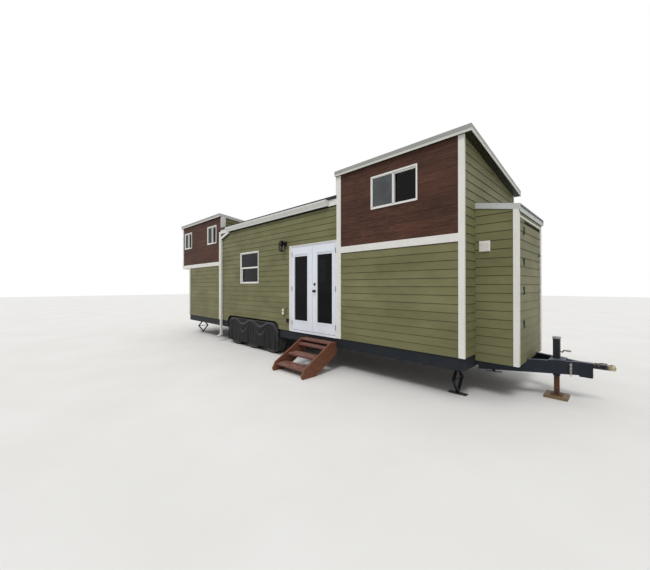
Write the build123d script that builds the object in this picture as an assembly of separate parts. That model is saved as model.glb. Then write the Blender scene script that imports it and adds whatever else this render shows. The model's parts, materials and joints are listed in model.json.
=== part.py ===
from build123d import *
import math
import os

# Tiny house on a steel road trailer, all sizes in millimetres.
# While it is drawn, X runs along the house with 0 at the outer face of the front wall and + toward
# the tongue, Y runs across it with 0 at the outer face of the door wall, and Z is the height above
# ground. At the end everything moves so that the origin is the bottom centre of the whole.

# House plan
house_width = 2590
front_length = 2438
mid_length = 4877
rear_length = 2438
rear_overhang = 610
wall_t = 102
trim_t = 19

# Trailer frame
frame_top = 645
channel_h = 190
channel_flange = 60
channel_web = 8
flange_t = 10
rail_setback = 12
main_rail_gap = 65
main_flange = 100
main_web = 7
cross_pitch = 975
cross_flange = 50
cross_web = 6

# Wheels and wells
axle_spacing = 864
axle_back = 723.5
tyre_r = 385
tyre_squash = 4
tyre_w = 235
tyre_bead_r = 208
tyre_bead_in = 18
tyre_wall_h = 50
tyre_bulge = 4
tyre_inset = 30
tyre_shoulder = 40
rim_lip = 12
rim_face_depth = 70
rim_disc_t = 14
rim_bore_r = 42
rim_hole_r = 20
rim_hole_count = 8
well_plate = 6
well_margin = 8
well_top = 815
well_corner_r = 200
well_side_gap = 25
well_lip = 22
axle_tube = 90
axle_arm_t = 25
axle_arm_len = 110
axle_arm_w = 80
spindle_r = 28
hub_r = 70

# Soft cover over the near wheels
cover_t = 50
cover_lift = 18
cover_bottom = 120
cover_clear = 8
cover_dip = 24
soft_gap = 0.3

# Tongue
tongue_top = 580
tongue_foot_y = 620
tongue_apex_x = 1235
jack_x = 885
jack_plate_front = 1000
jack_plate_back = 810
jack_plate_t = 10
coupler_plate_x = 1150
coupler_plate_w = 150
coupler_plate_t = 10
coupler_plate_drop = 210
nose_hole_up = (45, 105)
nose_hole_r = 9
coupler_nose_x = 1540
coupler_socket_r = 30
coupler_wall = 9
coupler_throat = 84
coupler_rise = 15
coupler_body_h = 80
coupler_step = 12
coupler_recess = 22
coupler_lip = 10
coupler_recess_end = 1455
coupler_lever = 9
coupler_lever_run = (15, 60, 90, 150)

# Tongue jack
jack_tube_w = 84
jack_tube_wall = 6
jack_tube_bottom = 330
jack_cap_top = 910
jack_cap_t = 30
jack_cap_lip = 5
leg_w = 64
leg_wall = 5
leg_top = 590
jack_guide_w = 40
jack_guide_h = 40
jack_fit = 0.3
foot_w = 150
foot_t = 8
pad_w = 290
pad_h = 40
crank_z = 690
crank_r = 7
crank_arm_t = 8
crank_arm_w = 24
crank_reach = 25
crank_drop = 150
crank_grip = 80
crank_grip_r = 14

# Safety chain
link_wire = 8
link_length = 44
link_width = 28
link_count = 7
link_gap = 0.3
chain_x = 1065
chain_top_z = 540
chain_lug = 26
lug_t = 5
lug_h = 36

# Floors, lofts and roofs
deck_t = 45
loft_bottom = 2330
loft_t = 100
tower_rise = 492
tower_slope = 0.13
roof_t = 92
eave = 60
rake_front = 130
rake_rear = 46
fascia_h = 102
inner_rake_h = 90
inner_rake_length = 2000
mid_top = 3440
mid_rise = 30
mid_roof_t = 110
drip_reach = 40
drip_t = 12

# Bands and corner boards
band_bottom = 2320
band_h = 120
corner_near = 70
corner_end = 15
seam_board = 109
end_board = 140
rear_seam_drop = 80

# Windows
frame_w = 24
sash_w = 22
meeting_w = 40
sash_t = 30
window_proud = 22
window_depth = 80
sash_front = 4
glass_t = 6
slider_w = 900
slider_h = 580
slider_side = 706
slider_drop = 892
narrow_w = 645
rear_window_seam = 300
rear_window_end = 180
hung_w = 913
hung_h = 855
hung_back = 1250.5
hung_z = 1749
far_hung_ahead = 926.5
far_drop = 420

# Entry doors
entry_width = 1412
entry_head = 2580
jamb_t = 25
door_t = 45
door_front = -15
door_gap = 5
meeting_gap = 8
sill_h = 45
sill_nose = 30
lock_stile = 150
lite_z = 912
lite_h = 1473
hinge_stile = 88
bezel_w = 34
bezel_t = 8
door_glass_t = 12
stop_t = 12
stop_gap = 6
casing_w = 80
flashing_h = 22
flashing_reach = 30

# Hinges
knuckle_r = 6.5
hinge_pin_r = 3
hinge_plate_t = 2
hinge_plate_depth = 40
hinge_h = 100
hinge_gap = 0.3
hinge_standoff = 8
door_hinge_z = (850, 1620, 2390)
closet_hinge_z = (1115, 1610, 2030, 2490)

# Lockset
lock_backset = 72
knob_z = 1570
bolt_z = 1715
rose_r = 32
rose_t = 8
rose_bevel = 3
bolt_bevel = 4
knob_r = 27
knob_reach = 62
knob_neck_r = 12

# Front closet
closet_depth = 562
closet_near = 450
closet_far = 1975
closet_t = 50
closet_skirt = 550
closet_top_back = 2940
closet_top_front = 2835
closet_roof_t = 33
closet_roof_nose = 8
closet_fascia_h = 85
closet_eave_h = 73
closet_roof_over = 85
closet_front_over = 30
closet_floor_t = 40
closet_near_stile = 340
closet_far_stile = 110
closet_door_bottom = 1000
closet_door_top = 2650
closet_head_gap = 45
closet_door_t = 38
closet_corner = 50
closet_corner_end = 55
closet_hinge_depth = 30

# Small fittings on the walls
vent_x = 60
vent_w = 155
vent_z = 2190
vent_h = 160
vent_t = 24
outlet_gap = 43
outlet_w = 110
outlet_z = 1000
outlet_h = 160
outlet_t = 55
inlet_gap = 2
inlet_w = 90
inlet_z = 830
inlet_h = 90
inlet_t = 42
lantern_side = 240
lantern_z = 2480
lantern_cap_h = 78
lantern_low_w = 84
lantern_taper_angle = 4.3
lantern_body_h = 170
lantern_cap_over = 8
lantern_cap_angle = 28
lantern_reach = 60
lantern_post = 10
lantern_glass_t = 3
lantern_plate = 120
lantern_plate_drop = 72
lantern_arm = 18
latch_in = 45
latch_z = 2190
latch_plate_w = 46
latch_plate_h = 80
latch_plate_t = 5
latch_knob_r = 13
latch_reach = 34

# Gutter and downspout
gutter_left_gap = 465
gutter_right_gap = 212
gutter_h = 125
gutter_w = 120
gutter_sheet = 3
gutter_base = 0.6
gutter_ogee = ((0.66, 0.2), (0.92, 0.62), (1, 0.75))
gutter_gap = 25
spout_w = 76
spout_d = 50
spout_side = 75
spout_outlet_in = 50
spout_jog_drop = 130
spout_outlet = 30
spout_off = 12
spout_mouth_z = 130
spout_bend_z = 200
spout_kick = 120
spout_sheet = 3

# Entry steps
steps_width = 905
steps_inset = 27
stringer_t = 38
step_top = 565
step_landing = 156
step_rise = 161.5
step_run = 283
tread_t = 38
tread_d = 262
tread_count = 3
tread_drop = 89
tread_front = -256
toe_y = -900
toe_z = 50
toe_heel_y = -872
toe_shoulder_y = -833
stringer_back = 330
shoulder_y = -283
shoulder_z = 485.5

# Corner stabilisers
stab_base_l = 280
stab_base_w = 110
stab_plate_t = 8
stab_span = 380
stab_arm = 30
stab_arm_w = 44
stab_screw_r = 9
stab_front_x = -240
stab_side_y = 400

centre_y = house_width / 2
mid_x = -front_length
rear_x = mid_x - mid_length
tail_x = rear_x - rear_length
upper_tail_x = tail_x - rear_overhang
frame_bottom = frame_top - channel_h
deck_top = frame_top + deck_t
tower_top = mid_top + tower_rise
tyre_in = tyre_inset + tyre_w
well_depth = tyre_in + well_side_gap
middle_x = (mid_x + rear_x) / 2
middle_axle_x = middle_x - axle_back
wheel_xs = [middle_axle_x + k * axle_spacing for k in (1, 0, -1)]
wheel_z = tyre_r - tyre_squash
well_front = wheel_xs[0] + tyre_r + well_margin
well_back = wheel_xs[-1] - tyre_r - well_margin
coupler_back = coupler_plate_x + coupler_plate_w
tongue_tan = (centre_y - tongue_foot_y) / tongue_apex_x
tongue_cos = math.cos(math.atan(tongue_tan))


def slab(x0, x1, y0, y1, z0, z1):
    """Rectangular solid between two corners."""
    centre = Pos((x0 + x1) / 2, (y0 + y1) / 2, (z0 + z1) / 2)
    return centre * Box(abs(x1 - x0), abs(y1 - y0), abs(z1 - z0))


def profile_x(points, x0, x1):
    """A (y, z) outline run from x0 to x1."""
    outline = Plane((x0, 0, 0), (0, 1, 0), (1, 0, 0)) * make_face(Polyline(*points, close=True))
    return extrude(outline, amount=x1 - x0)


def profile_y(points, y0, y1):
    """An (x, z) outline run from y0 to y1."""
    outline = Plane((0, y1, 0), (1, 0, 0), (0, -1, 0)) * make_face(Polyline(*points, close=True))
    return extrude(outline, amount=y1 - y0)


def profile_z(points, z0, z1):
    """An (x, y) outline run from z0 to z1."""
    outline = Plane((0, 0, z0), (1, 0, 0), (0, 0, 1)) * make_face(Polyline(*points, close=True))
    return extrude(outline, amount=z1 - z0)


def bar_y(x, z, radius, y0, y1):
    """Round bar along Y."""
    return Pos(x, (y0 + y1) / 2, z) * Rot(90, 0, 0) * Cylinder(radius, abs(y1 - y0))


def bar_x(y, z, radius, x0, x1):
    """Round bar along X."""
    return Pos((x0 + x1) / 2, y, z) * Rot(0, 90, 0) * Cylinder(radius, abs(x1 - x0))


def bar_z(x, y, radius, z0, z1):
    """Round bar along Z."""
    return Pos(x, y, (z0 + z1) / 2) * Cylinder(radius, abs(z1 - z0))


def band_outline(path, width):
    """Mitred outline of a strip of constant width along a flat path."""
    left = []
    right = []
    for i, (u, v) in enumerate(path):
        before = path[max(i - 1, 0)]
        after = path[min(i + 1, len(path) - 1)]
        into = (u - before[0], v - before[1]) if i else (after[0] - u, after[1] - v)
        out = (after[0] - u, after[1] - v) if i < len(path) - 1 else into
        a = math.atan2(into[1], into[0])
        turn = math.atan2(out[1], out[0]) - a
        half = (turn + math.pi) % (2 * math.pi) / 2 - math.pi / 2
        reach = width / 2 / math.cos(half)
        mean = a + half
        left.append((u - reach * math.sin(mean), v + reach * math.cos(mean)))
        right.append((u + reach * math.sin(mean), v - reach * math.cos(mean)))
    return left + right[::-1]


def to_far_side(shape):
    """Mirror image across the long centre plane of the house."""
    return mirror(shape, about=Plane((0, centre_y, 0), (1, 0, 0), (0, 1, 0)))


def tower_roof_z(y):
    """Top of the tower roof at a distance across the house."""
    return tower_top - tower_slope * (y + eave)


def mid_roof_z(y):
    """Top of the low roof at a distance across the house."""
    return mid_top + mid_rise * y / house_width


def closet_roof_z(x):
    """Top of the closet roof at a distance from the front wall."""
    return closet_top_back + (closet_top_front - closet_top_back) * x / closet_depth


def below_tower_roof(y0, y1, z0, x0, x1):
    """Slab that ends under the tower roof."""
    top0 = tower_roof_z(y0) - roof_t
    top1 = tower_roof_z(y1) - roof_t
    return profile_x([(y0, z0), (y1, z0), (y1, top1), (y0, top0)], x0, x1)


def below_mid_roof(y0, y1, z0, x0, x1):
    """Slab that ends under the low roof."""
    top0 = mid_roof_z(y0) - mid_roof_t
    top1 = mid_roof_z(y1) - mid_roof_t
    return profile_x([(y0, z0), (y1, z0), (y1, top1), (y0, top0)], x0, x1)


# Trailer frame: a ring of channel with mitred corners, open at the wheel wells
rail_lo = rail_setback
rail_hi = house_width - rail_setback
front_face = -rail_setback
back_face = tail_x + rail_setback


def frame_ring(depth, z0, z1):
    """Flat ring inside the outer face of the frame."""
    outer = slab(back_face, front_face, rail_lo, rail_hi, z0, z1)
    inner = slab(back_face + depth, front_face - depth, rail_lo + depth, rail_hi - depth, z0, z1)
    return outer - inner


perimeter = frame_ring(channel_web, frame_bottom, frame_top)
perimeter += frame_ring(channel_flange, frame_bottom, frame_bottom + flange_t)
perimeter += frame_ring(channel_flange, frame_top - flange_t, frame_top)


def ring_part(points):
    """The part of the channel ring that lies over an outline."""
    return perimeter & profile_z(points, frame_bottom, frame_top)


rail_in = rail_lo + channel_flange
near_front_rail = ring_part([(front_face, rail_lo), (front_face - channel_flange, rail_in),
                             (well_front, rail_in), (well_front, rail_lo)])
near_back_rail = ring_part([(back_face, rail_lo), (back_face + channel_flange, rail_in),
                            (well_back, rail_in), (well_back, rail_lo)])
side_rails = [near_front_rail, near_back_rail, to_far_side(near_front_rail), to_far_side(near_back_rail)]
end_beams = [ring_part([(face, rail_lo), (face, rail_hi),
                        (face + s * channel_flange, rail_hi - channel_flange),
                        (face + s * channel_flange, rail_in)])
             for face, s in ((front_face, -1), (back_face, 1))]

# Inner rails: two I-beams that carry the axles
main_y = tyre_in + main_rail_gap + main_flange / 2
beam_x0 = back_face + channel_flange
beam_x1 = front_face - channel_flange
main_beam = slab(beam_x0, beam_x1, main_y - main_web / 2, main_y + main_web / 2, frame_bottom, frame_top)
for flange_z in (frame_bottom, frame_top - flange_t):
    main_beam += slab(beam_x0, beam_x1, main_y - main_flange / 2, main_y + main_flange / 2,
                      flange_z, flange_z + flange_t)
main_rails = [main_beam, to_far_side(main_beam)]

# Crossmembers between the inner rails, and outriggers to the side rails
cross_z0 = frame_bottom + flange_t
cross_z1 = frame_top - flange_t


def cross_channel(x, y0, y1):
    """Light channel across the frame, fitted between the flanges."""
    web = slab(x, x + cross_web, y0, y1, cross_z0, cross_z1)
    web += slab(x, x + cross_flange, y0, y1, cross_z0, cross_z0 + cross_web)
    web += slab(x, x + cross_flange, y0, y1, cross_z1 - cross_web, cross_z1)
    return web


cross_count = int((beam_x1 - beam_x0) // cross_pitch)
crossmembers = []
for k in range(1, cross_count + 1):
    cross_x = beam_x1 - k * (beam_x1 - beam_x0) / (cross_count + 1)
    crossmembers.append(cross_channel(cross_x, main_y + main_web / 2, house_width - main_y - main_web / 2))
    if well_back < cross_x + cross_flange and cross_x < well_front:
        continue
    outrigger = cross_channel(cross_x, rail_lo + channel_web, main_y - main_web / 2)
    crossmembers += [outrigger, to_far_side(outrigger)]

# Tongue: two channels that meet on the centre line
tongue_bottom = tongue_top - channel_h


def tongue_strip(depth):
    """Plan outline of a strip along the outer face of the near tongue beam."""
    def start(t):
        return tongue_foot_y + t / tongue_cos + front_face * tongue_tan

    def end(t):
        return (centre_y - tongue_foot_y - t / tongue_cos) / tongue_tan
    return [(front_face, start(0)), (end(0), centre_y), (end(depth), centre_y), (front_face, start(depth))]


near_tongue = profile_z(tongue_strip(channel_web), tongue_bottom, tongue_top)
near_tongue += profile_z(tongue_strip(channel_flange), tongue_bottom, tongue_bottom + flange_t)
near_tongue += profile_z(tongue_strip(channel_flange), tongue_top - flange_t, tongue_top)
near_tongue -= slab(coupler_plate_x, tongue_apex_x + channel_h, 0, house_width, 0, tongue_top)
tongue_beams = [near_tongue, to_far_side(near_tongue)]


def tongue_half(x):
    """Half width over the tongue beams at a distance from the front wall."""
    return centre_y - tongue_foot_y - x * tongue_tan


# Jack plate on top of the beams, and the nose box, open below, that the coupler bolts to
plate_half_back = tongue_half(jack_plate_back)
plate_half_front = tongue_half(jack_plate_front)
jack_plate = profile_z([(jack_plate_back, centre_y - plate_half_back),
                        (jack_plate_front, centre_y - plate_half_front),
                        (jack_plate_front, centre_y + plate_half_front),
                        (jack_plate_back, centre_y + plate_half_back)],
                       tongue_top, tongue_top + jack_plate_t)
jack_plate -= slab(jack_x - jack_tube_w / 2, jack_x + jack_tube_w / 2, centre_y - jack_tube_w / 2,
                   centre_y + jack_tube_w / 2, tongue_top, tongue_top + jack_plate_t)
nose_half = tongue_half(coupler_plate_x)
nose_z0 = tongue_top - coupler_plate_drop
nose_channel = slab(coupler_plate_x, coupler_back, centre_y - nose_half, centre_y + nose_half,
                    nose_z0, tongue_top)
nose_channel -= slab(coupler_plate_x + coupler_plate_t, coupler_back - coupler_plate_t,
                     centre_y - nose_half + coupler_plate_t, centre_y + nose_half - coupler_plate_t,
                     nose_z0, tongue_top - coupler_plate_t)
for up in nose_hole_up:
    nose_channel -= bar_x(centre_y, nose_z0 + up, nose_hole_r, coupler_back - coupler_plate_t, coupler_back)
tongue_plates = [jack_plate, nose_channel]

# Coupler: a channel with turned-out lips that ends in a domed ball socket, open below
socket_x = coupler_nose_x - coupler_socket_r - coupler_wall
socket_outer = coupler_socket_r + coupler_wall
coupler_top = tongue_top + coupler_rise
socket_z = coupler_top - socket_outer
body_z0 = coupler_top - coupler_body_h
body_z1 = coupler_top - coupler_step
coupler = profile_z([(coupler_back, centre_y - coupler_throat / 2), (socket_x, centre_y - socket_outer),
                     (socket_x, centre_y + socket_outer), (coupler_back, centre_y + coupler_throat / 2)],
                    body_z0, body_z1)
coupler = chamfer(coupler.edges().group_by(Axis.Z)[-1].filter_by(Axis.X, tolerance=10), coupler_step)
recess_y = coupler_throat / 2 - coupler_recess
for side in (-1, 1):
    coupler -= slab(coupler_back, coupler_recess_end, centre_y + side * recess_y,
                    centre_y + side * coupler_throat, body_z0 + coupler_lip, body_z1 - coupler_lip)
coupler += bar_z(socket_x, centre_y, socket_outer, body_z0, socket_z)
coupler += Pos(socket_x, centre_y, socket_z) * Sphere(socket_outer)
coupler -= Pos(socket_x, centre_y, socket_z) * Sphere(coupler_socket_r)
coupler -= bar_z(socket_x, centre_y, coupler_socket_r, body_z0 - coupler_body_h, socket_z)
lever_z = body_z1 + coupler_lever / 3
lever_rise = (lever_z, lever_z, coupler_top, coupler_top)
lever_path = [(coupler_back + run, z) for run, z in zip(coupler_lever_run, lever_rise)]
coupler += profile_y(band_outline(lever_path, coupler_lever),
                     centre_y - coupler_lever, centre_y + coupler_lever)

# Jack: square tube with cap and crank, and the drop leg inside it
jack_cap_z = jack_cap_top - jack_cap_t
jack_tube = slab(jack_x - jack_tube_w / 2, jack_x + jack_tube_w / 2, centre_y - jack_tube_w / 2,
                 centre_y + jack_tube_w / 2, jack_tube_bottom, jack_cap_z)
jack_bore = jack_tube_w / 2 - jack_tube_wall
jack_tube -= slab(jack_x - jack_bore, jack_x + jack_bore, centre_y - jack_bore, centre_y + jack_bore,
                  jack_tube_bottom, jack_cap_z)
cap_half = jack_tube_w / 2 + jack_cap_lip
jack_tube += slab(jack_x - cap_half, jack_x + cap_half, centre_y - cap_half, centre_y + cap_half,
                  jack_cap_z, jack_cap_top)
crank_x0 = jack_x + jack_tube_w / 2
crank_x1 = crank_x0 + crank_reach
crank_end_y = centre_y + crank_drop
arm_end = crank_x1 + crank_arm_t
crank = slab(crank_x1, arm_end, centre_y - crank_arm_w / 2, crank_end_y + crank_arm_w / 2,
             crank_z - crank_arm_w / 2, crank_z + crank_arm_w / 2)
crank = fillet(crank.edges().filter_by(Axis.X), crank_arm_w / 2.2)
crank += bar_x(centre_y, crank_z, crank_r, crank_x0, crank_x1)
crank += bar_x(crank_end_y, crank_z, crank_r, arm_end, arm_end + crank_grip / 4)
crank += bar_x(crank_end_y, crank_z, crank_grip_r, arm_end + crank_grip / 4, arm_end + crank_grip)
leg_half = leg_w / 2
jack_guides = []
for side in (-1, 1):
    guide_in = side * (leg_half + jack_fit)
    guide_out = side * jack_bore
    jack_guides.append(slab(jack_x + guide_in, jack_x + guide_out, centre_y - jack_guide_w / 2,
                            centre_y + jack_guide_w / 2, jack_tube_bottom, jack_tube_bottom + jack_guide_h))
    jack_guides.append(slab(jack_x - jack_guide_w / 2, jack_x + jack_guide_w / 2, centre_y + guide_in,
                            centre_y + guide_out, jack_tube_bottom, jack_tube_bottom + jack_guide_h))
foot_top = pad_h + foot_t
leg_tube = slab(jack_x - leg_half, jack_x + leg_half, centre_y - leg_half, centre_y + leg_half,
                foot_top, leg_top)
leg_bore = leg_half - leg_wall
leg_tube -= slab(jack_x - leg_bore, jack_x + leg_bore, centre_y - leg_bore, centre_y + leg_bore,
                 foot_top, leg_top)
foot_plate = slab(jack_x - foot_w / 2, jack_x + foot_w / 2, centre_y - foot_w / 2, centre_y + foot_w / 2,
                  pad_h, foot_top)
jack_leg = [leg_tube, foot_plate]
jack_pad = slab(jack_x - pad_w / 2, jack_x + pad_w / 2, centre_y - pad_w / 2, centre_y + pad_w / 2, 0, pad_h)

# Safety chain: flat links hung from a lug on the near tongue beam
chain_y = tongue_foot_y + chain_x * tongue_tan
lug_y = chain_y - chain_lug
link_outline = SlotOverall(link_length, link_width) - SlotOverall(link_length - 2 * link_wire,
                                                                  link_width - 2 * link_wire)
link = Pos(0, 0, -link_wire / 2) * extrude(link_outline, amount=link_wire)
bend_r = link_width / 2 - link_wire


def bend_rise(half):
    """Height lost where a straight edge sits in the round end of a link."""
    return bend_r - math.sqrt(bend_r ** 2 - half ** 2)


link_pitch = link_length - 2 * link_wire - 2 * bend_rise(link_wire / 2) - link_gap
safety_chain = []
for k in range(link_count):
    turn = Rot(0, 0, 90 * ((k + 1) % 2)) * Rot(0, 90, 0)
    safety_chain.append(Pos(chain_x, lug_y, chain_top_z - k * link_pitch) * turn * link)
seat_z = chain_top_z + link_length / 2 - link_wire - bend_rise(lug_t / 2) - link_gap
lug_plate = profile_x([(chain_y + channel_web, seat_z - lug_h / 2), (lug_y - link_wire, seat_z - lug_h / 3),
                       (lug_y - 2 * link_wire, seat_z), (lug_y - link_wire, seat_z + lug_h / 3),
                       (chain_y + channel_web, seat_z + lug_h / 2)], chain_x - lug_t / 2, chain_x + lug_t / 2)
lug_plate -= slab(chain_x - lug_t, chain_x + lug_t, lug_y - link_wire / 2 - link_gap,
                  lug_y + link_wire / 2 + link_gap, seat_z, seat_z + 1.3 * link_wire)
tongue_plates.append((lug_plate - near_tongue).solids().sort_by(Axis.Y)[0])

# Wheels, one drawn about its own axle line and set in six places
tread_half = tyre_w / 2 - tyre_shoulder / 2
bead_half = tyre_w / 2 - tyre_bead_in
shoulder_half = tyre_w / 2 - tyre_bulge
tyre_outline = Polyline((tyre_bead_r, -bead_half), (tyre_bead_r + tyre_wall_h, -tyre_w / 2),
                        (tyre_r - tyre_shoulder, -shoulder_half), (tyre_r, -tread_half),
                        (tyre_r, tread_half), (tyre_r - tyre_shoulder, shoulder_half),
                        (tyre_bead_r + tyre_wall_h, tyre_w / 2), (tyre_bead_r, bead_half), close=True)
tyre_blank = Rot(-90, 0, 0) * revolve(Plane.XZ * make_face(tyre_outline), axis=Axis.Z)
rim_mid = rim_face_depth - tyre_w / 2
barrel_r = tyre_bead_r - rim_lip
rim_outline = Polyline((rim_bore_r, rim_mid), (barrel_r, rim_mid), (barrel_r, -bead_half), (tyre_bead_r, -bead_half),
                       (tyre_bead_r, bead_half), (barrel_r, bead_half), (barrel_r, rim_mid + rim_disc_t),
                       (rim_bore_r, rim_mid + rim_disc_t), close=True)
rim_blank = Rot(-90, 0, 0) * revolve(Plane.XZ * make_face(rim_outline), axis=Axis.Z)
hand_hole = bar_y(0, (barrel_r + rim_bore_r) / 2 + rim_hole_r, rim_hole_r, -tyre_w / 2, tyre_w / 2)
for k in range(rim_hole_count):
    rim_blank -= Rot(0, 360 / rim_hole_count * k, 0) * hand_hole
ground_cut = slab(-tyre_r, tyre_r, -tyre_w, tyre_w, -2 * tyre_r, -wheel_z)
tyre_blank -= ground_cut
near_wheel_y = tyre_inset + tyre_w / 2
tyres = []
wheel_rims = []
for wheel_x in wheel_xs:
    seat = Pos(wheel_x, near_wheel_y, wheel_z)
    tyres += [seat * tyre_blank, to_far_side(seat * tyre_blank)]
    wheel_rims += [seat * rim_blank, to_far_side(seat * rim_blank)]

# Torsion axles: square tube under the inner rails, trailing arms and spindles to the hubs
axle_z = frame_bottom - axle_tube / 2
arm_y1 = main_y - main_flange / 2
arm_y0 = arm_y1 - axle_arm_t
hub_face_y = tyre_inset + rim_face_depth
axles = []
for wheel_x in wheel_xs:
    tube_x = wheel_x + axle_arm_len
    axle = slab(tube_x - axle_tube / 2, tube_x + axle_tube / 2, arm_y1, house_width - arm_y1,
                frame_bottom - axle_tube, frame_bottom)
    arm = profile_y(band_outline([(tube_x + axle_arm_w / 2, axle_z), (wheel_x - axle_arm_w / 2, wheel_z)],
                                 axle_arm_w), arm_y0, arm_y1)
    spindle = bar_y(wheel_x, wheel_z, spindle_r, hub_face_y, arm_y0)
    hub = bar_y(wheel_x, wheel_z, hub_r, hub_face_y + rim_disc_t, hub_face_y + 3 * rim_disc_t)
    stub = arm + spindle + hub
    axles.append(axle + stub + to_far_side(stub))

# Wheel wells: a folded steel arch with a turned-out lip and a closed inner side
def arch_solid(inset, y0, y1):
    """Solid with the arch outline, inside the well plate by a given inset."""
    width = well_front - well_back - 2 * inset
    height = well_top - inset - frame_bottom
    face = Pos((well_front + well_back) / 2, frame_bottom + height / 2) * Rectangle(width, height)
    face = fillet(face.vertices().group_by(Axis.Y)[-1], well_corner_r - inset)
    return extrude(Plane((0, y1, 0), (1, 0, 0), (0, -1, 0)) * face, amount=y1 - y0)


near_well = arch_solid(0, 0, well_depth) - arch_solid(well_plate, 0, well_depth - well_plate)
near_well -= slab(well_back, well_front, well_depth - well_plate, well_depth, frame_bottom, frame_top)
lip = arch_solid(0, -well_lip, 0) - arch_solid(well_plate, -well_lip, 0)
near_well += lip
wheel_wells = [near_well, to_far_side(near_well)]

# Soft cover over the near wheels, hung in front of the tyres
cover_r = tyre_r + cover_lift
hump = Circle(cover_r)
cover_face = Pos(middle_axle_x, wheel_z) * Rectangle(2 * axle_spacing, 2 * (cover_r - cover_dip))
for wheel_x in wheel_xs:
    cover_face += Pos(wheel_x, wheel_z) * hump
cover_plane = Plane((0, tyre_inset - soft_gap, 0), (1, 0, 0), (0, -1, 0))
tyre_cover = extrude(cover_plane * cover_face, amount=cover_t)
tyre_cover &= slab(well_back + well_plate + cover_clear, well_front - well_plate - cover_clear, -house_width,
                   house_width, cover_bottom, well_top)

# Corner stabilisers: scissor jacks between the ground and the frame
scissor_z = frame_bottom / 2


def diamond(inset):
    """Diamond outline of the scissor arms, moved inward by a given inset."""
    side = math.hypot(stab_span / 2, scissor_z)
    reach = stab_span / 2 - inset * side / scissor_z
    rise = scissor_z - inset * side * 2 / stab_span
    return [(0, scissor_z - rise), (reach, scissor_z), (0, scissor_z + rise), (-reach, scissor_z)]


def scissor_jack(x, y):
    """Parked scissor jack centred at x, y."""
    arms = profile_x(diamond(0), -stab_arm_w / 2, stab_arm_w / 2)
    arms -= profile_x(diamond(stab_arm), -stab_arm_w / 2, stab_arm_w / 2)
    arms -= slab(-stab_arm_w, stab_arm_w, -stab_span, stab_span, 0, stab_plate_t)
    arms -= slab(-stab_arm_w, stab_arm_w, -stab_span, stab_span, frame_bottom - stab_plate_t, frame_bottom)
    pieces = []
    for sy in (-1, 1):
        for z0, z1 in ((0, scissor_z), (scissor_z, frame_bottom)):
            pieces.append(arms & slab(-stab_arm_w, stab_arm_w, 0, sy * stab_span, z0, z1))
    pieces.append(slab(-stab_base_l / 2, stab_base_l / 2, -stab_base_w / 2, stab_base_w / 2, 0, stab_plate_t))
    pieces.append(slab(-stab_base_w / 2, stab_base_w / 2, -stab_base_w / 2, stab_base_w / 2,
                       frame_bottom - stab_plate_t, frame_bottom))
    inner = diamond(stab_arm)[1][0]
    pieces.append(bar_y(0, scissor_z, stab_screw_r, -inner, inner))
    return [Pos(x, y, 0) * piece for piece in pieces]


stab_ys = (stab_side_y, house_width - stab_side_y)
stabiliser_jacks = []
for stab_x in (stab_front_x, tail_x - stab_front_x):
    for stab_y in stab_ys:
        stabiliser_jacks += scissor_jack(stab_x, stab_y)

# Floor deck between the walls, notched for the wells, and the closet floor on the tongue beams
deck = slab(tail_x + wall_t, -wall_t, wall_t, house_width - wall_t, frame_top, deck_top)
for y0, y1 in ((0, well_depth), (house_width - well_depth, house_width)):
    deck -= slab(well_back, well_front, y0, y1, frame_top, deck_top)
closet_floor = slab(0, closet_depth - closet_t, closet_near + closet_t, closet_far - closet_t,
                    tongue_top, tongue_top + closet_floor_t)
floor_deck = [deck, closet_floor]

# Tower walls: lower part in lap siding, upper part above the band
entry_left = mid_x - entry_width
lower_front = slab(mid_x, 0, 0, wall_t, frame_top, band_bottom)
lower_rear = slab(tail_x, rear_x, 0, wall_t, frame_top, band_bottom)
tower_lower_walls = [lower_front, lower_rear, to_far_side(lower_front), to_far_side(lower_rear)]


def window_hole(x, z, width, height, y0, y1):
    """Rough opening for a window."""
    return slab(x, x + width, y0, y1, z, z + height)


slider_x = -slider_side - slider_w
slider_z = tower_top - slider_drop
rear_window_a = rear_x - rear_window_seam - narrow_w
rear_window_b = upper_tail_x + rear_window_end
hung_x = middle_x - hung_back
far_hung_x = middle_x + far_hung_ahead
near_windows = [("slider", slider_x, slider_z, slider_w, slider_h),
                ("slider", rear_window_a, slider_z, narrow_w, slider_h),
                ("slider", rear_window_b, slider_z, narrow_w, slider_h),
                ("hung", hung_x, hung_z, hung_w, hung_h)]
far_windows = [("slider", slider_x, slider_z - far_drop, slider_w, slider_h),
               ("slider", rear_window_a, slider_z - far_drop, narrow_w, slider_h),
               ("slider", rear_window_b, slider_z - far_drop, narrow_w, slider_h),
               ("hung", hung_x, hung_z, hung_w, hung_h),
               ("hung", far_hung_x, hung_z, hung_w, hung_h)]
far_y0 = house_width - wall_t
upper_walls = [below_tower_roof(0, wall_t, band_bottom, mid_x, 0),
               below_tower_roof(0, wall_t, band_bottom, upper_tail_x, rear_x),
               below_tower_roof(far_y0, house_width, band_bottom, mid_x, 0),
               below_tower_roof(far_y0, house_width, band_bottom, upper_tail_x, rear_x)]
mid_walls = [below_mid_roof(0, wall_t, frame_top, rear_x, entry_left),
             below_mid_roof(far_y0, house_width, frame_top, rear_x, mid_x)]
near_cuts = [window_hole(x, z, w, h, 0, wall_t) for _, x, z, w, h in near_windows]
far_cuts = [window_hole(x, z, w, h, far_y0, house_width) for _, x, z, w, h in far_windows]
tower_upper_walls = []
for wall in upper_walls:
    for cut in near_cuts + far_cuts:
        wall -= cut
    tower_upper_walls.append(wall)
mid_side_walls = []
for wall, y0, y1 in zip(mid_walls, (0, far_y0), (wall_t, house_width)):
    for cut in near_cuts + far_cuts:
        wall -= cut
    mid_side_walls.append(wall - arch_solid(0, y0, y1))
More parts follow.
